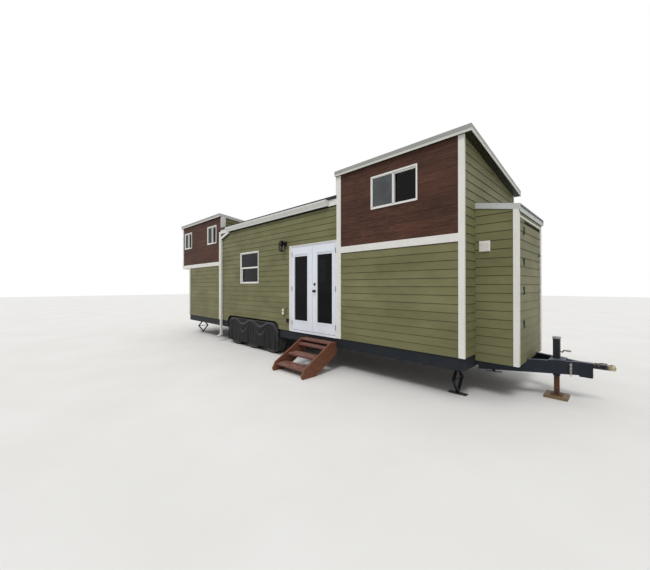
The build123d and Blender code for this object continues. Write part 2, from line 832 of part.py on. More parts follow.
wall_over_door = below_mid_roof(0, wall_t, entry_head, entry_left, mid_x)

# Walls across the house
front_wall = below_tower_roof(wall_t, far_y0, frame_top, -wall_t, 0)
lower_back_wall = slab(tail_x, tail_x + wall_t, wall_t, far_y0, frame_top, loft_bottom)
upper_back_wall = below_tower_roof(wall_t, far_y0, band_bottom, upper_tail_x, upper_tail_x + wall_t)
end_walls = [front_wall, lower_back_wall, upper_back_wall]
header_z = mid_roof_z(0) - mid_roof_t
step_walls = [below_tower_roof(wall_t, far_y0, header_z, mid_x, mid_x + wall_t),
              below_tower_roof(wall_t, far_y0, header_z, rear_x - wall_t, rear_x)]
loft_top = loft_bottom + loft_t
loft_floors = [slab(mid_x, -wall_t, wall_t, far_y0, loft_bottom, loft_top),
               slab(upper_tail_x + wall_t, rear_x, wall_t, far_y0, loft_bottom, loft_top)]

# Roofs: steep shed roofs on the towers, low roof between them
roof_near = -eave + trim_t
roof_far = house_width + eave - trim_t


def tower_roof(x0, x1):
    """Shed roof slab over one tower."""
    near_top = tower_roof_z(roof_near)
    far_top = tower_roof_z(roof_far)
    return profile_x([(roof_near, near_top - roof_t), (roof_far, far_top - roof_t), (roof_far, far_top),
                      (roof_near, near_top)], x0, x1)


front_roof_x = rake_front - trim_t
rear_roof_x = upper_tail_x - rake_rear + trim_t
tower_roofs = [tower_roof(mid_x, front_roof_x), tower_roof(rear_roof_x, rear_x)]
low_roof = profile_x([(0, mid_roof_z(0) - mid_roof_t), (house_width, mid_roof_z(house_width) - mid_roof_t),
                      (house_width, mid_roof_z(house_width)), (0, mid_roof_z(0))], rear_x, mid_x)
drip_x0 = rear_x + corner_near / 2
drip_x1 = mid_x - corner_near / 2
drip_edge = profile_x([(-drip_reach, mid_top - 2 * drip_t), (-drip_reach, mid_top - drip_t / 2), (0, mid_top),
                       (0, mid_top - drip_t), (-drip_reach + drip_t / 2, mid_top - 1.5 * drip_t),
                       (-drip_reach + drip_t / 2, mid_top - 2 * drip_t)], drip_x0, drip_x1)
mid_roof = [low_roof, drip_edge]


def eave_board(y0, y1, x0, x1):
    """Fascia along a tower eave, its top flush with the roof."""
    top0 = tower_roof_z(y0)
    top1 = tower_roof_z(y1)
    return profile_x([(y0, top0 - fascia_h), (y1, top0 - fascia_h), (y1, top1), (y0, top0)], x0, x1)


def rake_board(y0, y1, height, x0, x1):
    """Board along the sloping end of a tower roof."""
    return profile_x([(y0, tower_roof_z(y0) - height), (y1, tower_roof_z(y1) - height),
                      (y1, tower_roof_z(y1)), (y0, tower_roof_z(y0))], x0, x1)


far_edge = house_width + eave
roof_fascias = []
for x0, x1 in ((mid_x, front_roof_x), (rear_roof_x, rear_x)):
    roof_fascias.append(eave_board(-eave, roof_near, x0, x1))
    roof_fascias.append(eave_board(roof_far, far_edge, x0, x1))
roof_fascias.append(rake_board(-eave, far_edge, fascia_h, front_roof_x, rake_front))
roof_fascias.append(rake_board(-eave, far_edge, fascia_h, rear_roof_x - trim_t, rear_roof_x))
roof_fascias.append(rake_board(-eave, inner_rake_length, inner_rake_h, mid_x - trim_t, mid_x))
roof_fascias.append(rake_board(-eave, inner_rake_length, inner_rake_h, rear_x, rear_x + trim_t))

# Corner boards, each an angle of two boards round its corner
def corner_board(x, face, z0, z1):
    """Angle on the near side, one leg along the side wall and one along the end wall."""
    outline = [(x - face * corner_near, -trim_t), (x + face * trim_t, -trim_t), (x + face * trim_t, corner_end),
               (x, corner_end), (x, 0), (x - face * corner_near, 0)]
    return profile_z(outline, z0, z1)


def clip_to_tower(board):
    """Trim a board to the underside of the tower roof."""
    low = -2 * eave
    high = house_width + 2 * eave
    above = profile_x([(low, tower_roof_z(low) - roof_t), (high, tower_roof_z(high) - roof_t),
                       (high, 2 * tower_top), (low, 2 * tower_top)],
                      upper_tail_x - house_width, house_width)
    return board - above


def seam_board_at(x, face, top):
    """Flat board on the side wall where a tower meets the low part."""
    return slab(x, x - face * seam_board, -trim_t, 0, frame_top, top)


def seam_return(x, face):
    """Board on the tower end above the low roof."""
    leg = slab(x, x + face * trim_t, -trim_t, end_board, mid_top - mid_roof_t, tower_top)
    roof_space = profile_x([(-eave, mid_roof_z(-eave) - 2 * mid_roof_t), (end_board, 0),
                            (end_board, mid_roof_z(end_board)), (-eave, mid_roof_z(-eave) + trim_t)],
                           x - house_width, x + house_width)
    return leg - roof_space - rake_board(-eave, inner_rake_length, inner_rake_h, x, x + face * trim_t)


ends = ((0, 1, frame_top), (upper_tail_x, -1, band_bottom))
seams = ((mid_x, -1, tower_top), (rear_x, 1, mid_top - rear_seam_drop))
corner_boards = []
for x, face, z0 in ends:
    board = corner_board(x, face, z0, tower_top)
    corner_boards += [clip_to_tower(board), clip_to_tower(to_far_side(board))]
for x, face, top in seams:
    board = seam_board_at(x, face, top)
    corner_boards += [clip_to_tower(board + seam_return(x, face)), clip_to_tower(to_far_side(board))]
lower_corner = corner_board(tail_x, -1, frame_top, band_bottom)
corner_boards += [lower_corner, to_far_side(lower_corner)]

# Bands between the lower and the upper boards
band_top = band_bottom + band_h
near_bands = [slab(mid_x + seam_board, -corner_near, -trim_t, 0, band_bottom, band_top),
              slab(upper_tail_x + corner_near, rear_x - seam_board, -trim_t, 0, band_bottom, band_top)]
band_boards = near_bands + [to_far_side(band) for band in near_bands]
band_boards.append(slab(upper_tail_x - trim_t, upper_tail_x, corner_end, house_width - corner_end,
                        band_bottom, band_top))


def sash_ring(x0, x1, y0, z0, z1, left=sash_w, right=sash_w, low=sash_w, high=sash_w):
    """Sash with members of the given widths, and its pane in the middle of its depth."""
    ring = slab(x0, x1, y0, y0 + sash_t, z0, z1)
    ring -= slab(x0 + left, x1 - right, y0, y0 + sash_t, z0 + low, z1 - high)
    pane_y = y0 + sash_t / 2
    pane = slab(x0 + left, x1 - right, pane_y - glass_t / 2, pane_y + glass_t / 2, z0 + low, z1 - high)
    return ring, pane


def window_unit(kind, width, height):
    """Window frame with two sashes, and its panes, lower left corner at the origin."""
    frame = slab(0, width, -window_proud, window_depth, 0, height)
    frame -= slab(frame_w, width - frame_w, -window_proud, window_depth, frame_w, height - frame_w)
    y_front = sash_front - window_proud / 2
    y_back = y_front + sash_t
    if kind == "slider":
        low = (width - meeting_w) / 2
        high = (width + meeting_w) / 2
        first = sash_ring(frame_w, high, y_front, frame_w, height - frame_w, right=meeting_w)
        second = sash_ring(low, width - frame_w, y_back, frame_w, height - frame_w, left=meeting_w)
    else:
        low = (height - meeting_w) / 2
        high = (height + meeting_w) / 2
        first = sash_ring(frame_w, width - frame_w, y_front, low, height - frame_w, low=meeting_w)
        second = sash_ring(frame_w, width - frame_w, y_back, frame_w, high, high=meeting_w)
    return frame + first[0] + second[0], [first[1], second[1]]


window_frames = []
window_glass = []
for kind, x, z, width, height in near_windows:
    frame, panes = window_unit(kind, width, height)
    window_frames.append(Pos(x, 0, z) * frame)
    window_glass += [Pos(x, 0, z) * pane for pane in panes]
for kind, x, z, width, height in far_windows:
    frame, panes = window_unit(kind, width, height)
    seat = Pos(x + width, house_width, z) * Rot(0, 0, 180)
    window_frames.append(seat * frame)
    window_glass += [seat * pane for pane in panes]

# Entry: frame with stops and sill, casing board and head flashing
jamb_left = entry_left + jamb_t
jamb_right = mid_x - jamb_t
sill_top = frame_top + sill_h
head_z = entry_head - jamb_t
leaf_back = door_front + door_t
stop_y = leaf_back + stop_gap
door_frame = [slab(entry_left, jamb_left, door_front, wall_t, sill_top, head_z),
              slab(jamb_right, mid_x, door_front, wall_t, sill_top, head_z),
              slab(entry_left, mid_x, door_front, wall_t, head_z, entry_head),
              slab(entry_left, mid_x, -sill_nose, wall_t, frame_top, sill_top),
              slab(jamb_left, jamb_left + stop_t, stop_y, wall_t, sill_top, head_z - stop_t),
              slab(jamb_right - stop_t, jamb_right, stop_y, wall_t, sill_top, head_z - stop_t),
              slab(jamb_left, jamb_right, stop_y, wall_t, head_z - stop_t, head_z)]
casing_x = entry_left - casing_w
flashing = profile_x([(0, entry_head + flashing_h), (-flashing_reach, entry_head + flashing_h / 2),
                      (-flashing_reach, entry_head), (0, entry_head)], entry_left, mid_x)
door_casing = [slab(casing_x, entry_left, -trim_t, 0, frame_top, entry_head + flashing_h), flashing]

# Door leaves: a long glazed light in each, with a raised bezel
leaf_bottom = sill_top + door_gap
leaf_top = head_z - door_gap
meeting_x = (jamb_left + jamb_right) / 2


def door_leaf(x0, x1, lite_x):
    """Leaf with its light cut through, and its pane."""
    z0 = lite_z
    z1 = lite_z + lite_h
    leaf = slab(x0, x1, door_front, leaf_back, leaf_bottom, leaf_top)
    leaf += slab(lite_x - bezel_w, lite_x + lite_w + bezel_w, door_front - bezel_t, leaf_back + bezel_t / 2,
                 z0 - bezel_w, z1 + bezel_w)
    leaf -= slab(lite_x, lite_x + lite_w, -door_t, 2 * door_t, z0, z1)
    pane_y = (door_front + leaf_back) / 2
    pane = slab(lite_x, lite_x + lite_w, pane_y - door_glass_t / 2, pane_y + door_glass_t / 2, z0, z1)
    return leaf, pane


left_x0 = jamb_left + door_gap
left_x1 = meeting_x - meeting_gap / 2
right_x0 = meeting_x + meeting_gap / 2
right_x1 = jamb_right - door_gap
lite_w = left_x1 - left_x0 - hinge_stile - lock_stile
left_leaf, left_pane = door_leaf(left_x0, left_x1, left_x0 + hinge_stile)
right_leaf, right_pane = door_leaf(right_x0, right_x1, right_x1 - hinge_stile - lite_w)


def butt_hinge(depth):
    """Three-knuckle hinge at the origin: the fixed half, then the half on the door at +X."""
    third = hinge_h / 3
    swing_r = knuckle_r + 2 * hinge_gap
    inner = door_gap / 2
    fixed = slab(-inner, -inner + hinge_plate_t, 0, hinge_standoff + depth, 0, hinge_h)
    moving = slab(inner - hinge_plate_t, inner, 0, hinge_standoff + depth, 0, hinge_h)
    fixed -= bar_z(0, 0, swing_r, third, 2 * third)
    moving -= bar_z(0, 0, swing_r, 0, third) + bar_z(0, 0, swing_r, 2 * third, hinge_h)
    fixed += bar_z(0, 0, knuckle_r, 0, third - hinge_gap / 2)
    fixed += bar_z(0, 0, knuckle_r, 2 * third + hinge_gap / 2, hinge_h)
    fixed += bar_z(0, 0, hinge_pin_r, 0, hinge_h)
    moving += bar_z(0, 0, knuckle_r, third + hinge_gap / 2, 2 * third - hinge_gap / 2)
    moving -= bar_z(0, 0, hinge_pin_r + hinge_gap, third, 2 * third)
    return fixed, moving


hinge_y = door_front - hinge_standoff
left_hinge_x = jamb_left + door_gap / 2
right_hinge_x = jamb_right - door_gap / 2
fixed_half, moving_half = butt_hinge(hinge_plate_depth)
flip = Plane((0, 0, 0), (0, 1, 0), (1, 0, 0))
door_hinges = []
left_door_hinges = []
right_door_hinges = []
for z in door_hinge_z:
    left_seat = Pos(left_hinge_x, hinge_y, z - hinge_h / 2)
    right_seat = Pos(right_hinge_x, hinge_y, z - hinge_h / 2)
    door_hinges += [left_seat * fixed_half, right_seat * mirror(fixed_half, about=flip)]
    left_door_hinges.append(left_seat * moving_half)
    right_door_hinges.append(right_seat * mirror(moving_half, about=flip))

# Lockset on the right leaf: knob and deadbolt on both faces
lock_x = right_x0 + lock_backset
knob_outline = Polyline((0, 0), (rose_r, 0), (rose_r - rose_bevel, rose_t), (knob_neck_r, rose_t),
                        (knob_neck_r, knob_reach - knob_r), (knob_r, knob_reach - knob_r * 0.7),
                        (knob_r, knob_reach - knob_r * 0.3), (knob_r * 0.6, knob_reach), (0, knob_reach),
                        close=True)
knob = revolve(Plane.XZ * make_face(knob_outline), axis=Axis.Z)
bolt_outline = Polyline((0, 0), (rose_r - bolt_bevel, 0), (rose_r - 2 * bolt_bevel, 2 * rose_t),
                        (0, 2 * rose_t), close=True)
bolt = revolve(Plane.XZ * make_face(bolt_outline), axis=Axis.Z)
door_lockset = []
for part, z in ((knob, knob_z), (bolt, bolt_z)):
    door_lockset.append(Pos(lock_x, door_front, z) * Rot(90, 0, 0) * part)
    door_lockset.append(Pos(lock_x, leaf_back, z) * Rot(-90, 0, 0) * part)

# Closet on the front wall: lean-to with its own door
front_x = closet_depth
closet_door_near = closet_near + closet_near_stile
closet_door_far = closet_far - closet_far_stile
latch_y = closet_door_far - latch_in
closet_in = closet_depth - closet_t


def below_closet_roof(x0, x1, z0, y0, y1):
    """Slab that ends under the closet roof."""
    return profile_y([(x0, z0), (x1, z0), (x1, closet_roof_z(x1) - closet_roof_t),
                      (x0, closet_roof_z(x0) - closet_roof_t)], y0, y1)


def over_tongue(wall):
    """The wall with notches where it stands over the tongue beams."""
    beam = profile_z(tongue_strip(channel_flange), tongue_bottom, tongue_top)
    return wall - beam - to_far_side(beam)


closet_side_walls = [below_closet_roof(0, front_x, closet_skirt, y0, y0 + closet_t)
                     for y0 in (closet_near, closet_far - closet_t)]
closet_side_walls[1] = over_tongue(closet_side_walls[1])
closet_front_wall = [
    below_closet_roof(closet_in, front_x, closet_skirt, closet_near + closet_t, closet_door_near),
    below_closet_roof(closet_in, front_x, closet_skirt, closet_door_far, closet_far - closet_t),
    below_closet_roof(closet_in, front_x, closet_door_top, closet_door_near, closet_door_far),
    over_tongue(slab(closet_in, front_x, closet_door_near, closet_door_far, closet_skirt, closet_door_bottom))]
roof_front_x = closet_depth + closet_front_over - trim_t
roof_nose_x = roof_front_x + trim_t + closet_roof_nose
closet_roof_far = closet_far + closet_roof_over - trim_t


def closet_strip(x0, x1, depth, y0, y1):
    """Strip that follows the top of the closet roof."""
    return profile_y([(x0, closet_roof_z(x0) - depth), (x1, closet_roof_z(x1) - depth),
                      (x1, closet_roof_z(x1)), (x0, closet_roof_z(x0))], y0, y1)


closet_roof = closet_strip(0, roof_nose_x, closet_roof_t, closet_near, closet_roof_far)
eave_strip = closet_strip(roof_front_x, roof_front_x + trim_t, closet_roof_t + closet_eave_h, closet_near,
                          closet_roof_far)
closet_fascia = [closet_strip(0, roof_nose_x, closet_fascia_h, closet_near - trim_t, closet_near),
                 closet_strip(0, roof_nose_x, closet_fascia_h, closet_roof_far, closet_roof_far + trim_t),
                 eave_strip - closet_roof]
eave_bottom = closet_roof_z(roof_front_x + trim_t) - closet_roof_t - closet_eave_h
for y, face in ((closet_near, -1), (closet_far, 1)):
    x0 = front_x - closet_corner
    x1 = front_x + trim_t
    side_leg = profile_y([(x0, closet_skirt), (x1, closet_skirt), (x1, closet_roof_z(x1) - closet_fascia_h),
                          (x0, closet_roof_z(x0) - closet_fascia_h)], min(y, y + face * trim_t),
                         max(y, y + face * trim_t))
    end_leg = slab(front_x, x1, y, y - face * closet_corner_end, closet_skirt, eave_bottom)
    corner_boards.append(side_leg + end_leg - eave_strip)
closet_door = slab(front_x - closet_door_t, front_x, closet_door_near + door_gap, closet_door_far - door_gap,
                   closet_door_bottom + door_gap, closet_door_top - closet_head_gap)
closet_axis_x = front_x + hinge_standoff
closet_axis_y = closet_door_near + door_gap / 2
fixed_half, moving_half = butt_hinge(closet_hinge_depth)
closet_hinges = []
closet_door_hinges = []
for z in closet_hinge_z:
    seat = Pos(closet_axis_x, closet_axis_y, z - hinge_h / 2) * Rot(0, 0, 90)
    closet_hinges.append(seat * fixed_half)
    closet_door_hinges.append(seat * moving_half)
closet_latch = slab(front_x, front_x + latch_plate_t, latch_y - latch_plate_w / 2, latch_y + latch_plate_w / 2,
                    latch_z - latch_plate_h / 2, latch_z + latch_plate_h / 2)
closet_latch += bar_x(latch_y, latch_z, latch_knob_r / 2, front_x, front_x + latch_reach)
closet_latch += bar_x(latch_y, latch_z, latch_knob_r, front_x + latch_reach / 2, front_x + latch_reach)

# Small covers and boxes
inlet_x = entry_left - casing_w - inlet_gap - inlet_w
outlet_x = inlet_x - outlet_gap - outlet_w
vent_cover = slab(vent_x, vent_x + vent_w, closet_near - vent_t, closet_near, vent_z, vent_z + vent_h)
vent_cover = chamfer(vent_cover.faces().sort_by(Axis.Y)[0].edges(), vent_t / 3)
outlet_box = profile_x([(0, outlet_z), (-outlet_t, outlet_z), (-outlet_t, outlet_z + outlet_h * 0.85),
                        (-outlet_t / 2, outlet_z + outlet_h), (0, outlet_z + outlet_h)],
                       outlet_x, outlet_x + outlet_w)
inlet_box = slab(inlet_x, inlet_x + inlet_w, -inlet_t, 0, inlet_z, inlet_z + inlet_h)
inlet_box = chamfer(inlet_box.faces().sort_by(Axis.Y)[0].edges(), inlet_t / 5)

# Gutter: open trough with an ogee front and closed ends
gutter_left = rear_x + gutter_left_gap
gutter_right = mid_x - gutter_right_gap
gutter_top = mid_top - gutter_gap
gutter_bottom = gutter_top - gutter_h


def ogee(sheet):
    """Outline of the trough, moved inward by the thickness of the sheet."""
    front = [(-gutter_w * out + sheet, gutter_bottom + gutter_h * up) for out, up in gutter_ogee]
    heel = [(-sheet, gutter_top), (-sheet, gutter_bottom + sheet), (-gutter_w * gutter_base + sheet / 2,
                                                                    gutter_bottom + sheet)]
    return heel + front + [(-gutter_w + sheet, gutter_top)]


gutter = profile_x(ogee(0), gutter_left, gutter_right)
gutter -= profile_x(ogee(gutter_sheet), gutter_left + gutter_sheet, gutter_right - gutter_sheet)

# Downspout: outlet, jog to the corner, straight drop and a kicked-out foot
spout_y = -spout_off - spout_d / 2
spout_x = rear_x + spout_side
spout_drop_x = gutter_left + spout_outlet_in
jog_z = gutter_bottom - spout_outlet
upper_path = [(spout_drop_x, gutter_bottom), (spout_drop_x, jog_z), (spout_x, jog_z - spout_jog_drop),
              (spout_x, 2 * spout_bend_z)]
downspout = profile_y(band_outline(upper_path, spout_w), spout_y - spout_d / 2, spout_y + spout_d / 2)
foot_path = [(spout_y, 2 * spout_bend_z), (spout_y, spout_bend_z), (spout_y - spout_kick, spout_mouth_z)]
downspout += profile_x(band_outline(foot_path, spout_d), spout_x - spout_w / 2, spout_x + spout_w / 2)
mouth_path = [(spout_y - spout_kick * 0.6, spout_mouth_z + (spout_bend_z - spout_mouth_z) * 0.4),
              (spout_y - spout_kick, spout_mouth_z)]
downspout -= profile_x(band_outline(mouth_path, spout_d - 2 * spout_sheet), spout_x - spout_w / 2 + spout_sheet,
                       spout_x + spout_w / 2 - spout_sheet)

# Porch lantern: wall plate, arm, capped frame with four posts, and its glass
lantern_x = entry_left - lantern_side
lantern_w = lantern_low_w + 2 * lantern_body_h * math.tan(math.radians(lantern_taper_angle))
lantern_y = -lantern_reach - lantern_w / 2
glass_w = lantern_low_w - 2 * lantern_glass_t
pane_w = lantern_low_w - 2 * lantern_post
cap_w = lantern_w + 2 * lantern_cap_over
cage = extrude(Rectangle(lantern_low_w, lantern_low_w), amount=lantern_body_h, taper=-lantern_taper_angle)
glass = extrude(Rectangle(glass_w, glass_w), amount=lantern_body_h, taper=-lantern_taper_angle)
cage -= glass
cage -= slab(-lantern_w, lantern_w, -pane_w / 2, pane_w / 2, lantern_post, lantern_body_h - lantern_post)
cage -= slab(-pane_w / 2, pane_w / 2, -lantern_w, lantern_w, lantern_post, lantern_body_h - lantern_post)
cap = extrude(Rectangle(cap_w, cap_w), amount=lantern_cap_h, taper=lantern_cap_angle)
cap = Pos(0, 0, lantern_body_h) * cap
base = slab(-lantern_low_w / 2, lantern_low_w / 2, -lantern_low_w / 2, lantern_low_w / 2, -lantern_post, 0)
lantern_seat = Pos(lantern_x, lantern_y, lantern_z + lantern_post)
porch_light = lantern_seat * (cage + cap + base)
arm_z = lantern_z + lantern_post + lantern_body_h + (lantern_cap_h - lantern_arm) / 3
plate_z = arm_z - lantern_plate_drop
porch_light += slab(lantern_x - lantern_plate / 2, lantern_x + lantern_plate / 2, -trim_t, 0, plate_z,
                    plate_z + lantern_plate)
porch_light += slab(lantern_x - lantern_arm / 2, lantern_x + lantern_arm / 2, lantern_y, -trim_t, arm_z,
                    arm_z + lantern_arm)
porch_light_glass = lantern_seat * glass

# Entry steps: cut stringers, three open treads and a top board
steps_right = mid_x - steps_inset
steps_left = steps_right - steps_width
steps_slope = step_rise / step_run
toe_shoulder_z = shoulder_z - (shoulder_y - toe_shoulder_y) * steps_slope
heel_y = rail_setback - stringer_back / steps_slope
stringer_outline = [(toe_heel_y, 0), (toe_y, toe_z), (toe_shoulder_y, toe_shoulder_z), (shoulder_y, shoulder_z),
                    (-step_landing, step_top), (rail_setback, step_top), (rail_setback, stringer_back), (heel_y, 0)]
step_stringers = [profile_x(stringer_outline, steps_left, steps_left + stringer_t),
                  profile_x(stringer_outline, steps_right - stringer_t, steps_right)]
tread_x0 = steps_left + stringer_t
tread_x1 = steps_right - stringer_t
step_treads = [slab(tread_x0, tread_x1, -step_landing, rail_setback, step_top - tread_t, step_top)]
for k in range(tread_count):
    tread_z = step_top - tread_drop - k * step_rise
    tread_y = tread_front - k * step_run
    step_treads.append(slab(tread_x0, tread_x1, tread_y, tread_y + tread_d, tread_z - tread_t, tread_z))

nodes = {
    "main_rails": main_rails, "side_rails": side_rails, "end_beams": end_beams, "crossmembers": crossmembers,
    "tongue_beams": tongue_beams, "tongue_plates": tongue_plates, "coupler": coupler,
    "safety_chain": safety_chain, "jack_tube": [jack_tube, crank] + jack_guides, "jack_leg": jack_leg,
    "jack_pad": jack_pad,
    "axles": axles, "tyres": tyres, "wheel_rims": wheel_rims, "wheel_wells": wheel_wells,
    "tyre_cover": tyre_cover, "stabiliser_jacks": stabiliser_jacks, "floor_deck": floor_deck,
    "tower_lower_walls": tower_lower_walls, "tower_upper_walls": tower_upper_walls,
    "mid_side_walls": mid_side_walls, "wall_over_door": wall_over_door, "end_walls": end_walls,
    "step_walls": step_walls, "loft_floors": loft_floors, "tower_roofs": tower_roofs, "mid_roof": mid_roof,
    "roof_fascias": roof_fascias, "corner_boards": corner_boards, "band_boards": band_boards,
    "window_frames": window_frames, "window_glass": window_glass, "door_frame": door_frame,
    "door_casing": door_casing, "left_door_leaf": left_leaf, "left_door_glass": left_pane,
    "right_door_leaf": right_leaf, "right_door_glass": right_pane, "door_hinges": door_hinges,
    "left_door_hinges": left_door_hinges, "right_door_hinges": right_door_hinges,
    "door_lockset": door_lockset, "closet_side_walls": closet_side_walls,
    "closet_front_wall": closet_front_wall, "closet_roof": closet_roof, "closet_fascia": closet_fascia,
    "closet_door": closet_door, "closet_hinges": closet_hinges, "closet_door_hinges": closet_door_hinges,
    "closet_latch": closet_latch, "vent_cover": vent_cover, "outlet_box": outlet_box,
    "inlet_box": inlet_box, "gutter": gutter, "downspout": downspout, "porch_light": porch_light,
    "porch_light_glass": porch_light_glass, "step_stringers": step_stringers, "step_treads": step_treads,
}

# Origin at the bottom centre of the whole
origin_x = (coupler_nose_x + upper_tail_x - rake_rear) / 2
origin_y = (toe_y + house_width + eave) / 2
to_origin = Pos(-origin_x, -origin_y, 0)

os.makedirs("parts", exist_ok=True)
for name, shapes in nodes.items():
    pieces = []
    for shape in shapes if isinstance(shapes, list) else [shapes]:
        pieces += (to_origin * shape).solids()
    export_step(Compound(children=pieces), f"parts/{name}.step")
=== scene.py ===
"""Looks of a tiny house on a road trailer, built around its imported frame.

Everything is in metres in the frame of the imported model: X runs along the house toward the tongue,
Y runs across it with the door side low, Z is the height above ground. A wall panel is drawn in its own
plane, with u to the right as seen from outside, z up and the outward side at negative y.
"""

import json
import logging
import math
import random
from dataclasses import dataclass, field
from enum import Enum
from typing import Sequence

import bmesh
import bpy
from mathutils import Matrix, Vector

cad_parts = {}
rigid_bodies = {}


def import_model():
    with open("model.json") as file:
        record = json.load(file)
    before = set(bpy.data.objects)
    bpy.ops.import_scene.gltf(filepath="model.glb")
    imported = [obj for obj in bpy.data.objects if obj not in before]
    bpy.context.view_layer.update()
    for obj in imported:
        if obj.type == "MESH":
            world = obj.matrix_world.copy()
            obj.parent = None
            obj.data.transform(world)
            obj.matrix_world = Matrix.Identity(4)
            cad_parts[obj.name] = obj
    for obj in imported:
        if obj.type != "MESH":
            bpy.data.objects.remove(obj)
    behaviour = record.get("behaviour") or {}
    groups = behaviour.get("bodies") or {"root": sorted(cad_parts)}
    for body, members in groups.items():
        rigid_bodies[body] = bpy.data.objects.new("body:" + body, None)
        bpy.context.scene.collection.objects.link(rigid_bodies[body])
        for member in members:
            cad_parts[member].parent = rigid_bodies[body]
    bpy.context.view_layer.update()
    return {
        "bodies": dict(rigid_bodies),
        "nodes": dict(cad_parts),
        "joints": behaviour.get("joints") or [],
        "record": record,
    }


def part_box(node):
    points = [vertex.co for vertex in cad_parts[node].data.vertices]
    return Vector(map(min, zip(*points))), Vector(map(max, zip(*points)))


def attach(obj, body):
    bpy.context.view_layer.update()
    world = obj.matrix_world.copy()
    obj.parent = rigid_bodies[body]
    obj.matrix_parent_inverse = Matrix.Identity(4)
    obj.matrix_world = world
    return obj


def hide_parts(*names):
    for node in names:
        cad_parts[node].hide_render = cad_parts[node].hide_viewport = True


LOG = logging.getLogger("tiny_house")
HOUSE = "trailer_house"
SAME_SPOT = 1e-5
ON_PLANE = 1e-6
SAME_LINE = 1e-3
Colour = tuple[float, float, float, float]
Span = tuple[float, float]
Outline = list[Span]
Mesh = bmesh.types.BMesh
Socket = bpy.types.NodeSocket


def shade(red: int, green: int, blue: int) -> Colour:
    """Linear colour of a display colour.

    Args:
        red: Red from 0 to 255.
        green: Green from 0 to 255.
        blue: Blue from 0 to 255.

    Returns:
        The linear colour with full opacity.
    """
    def channel(value: int) -> float:
        """Linear value of one channel."""
        part = value / 255
        return part / 12.92 if part <= 0.04045 else ((part + 0.055) / 1.055) ** 2.4

    return channel(red), channel(green), channel(blue), 1.0


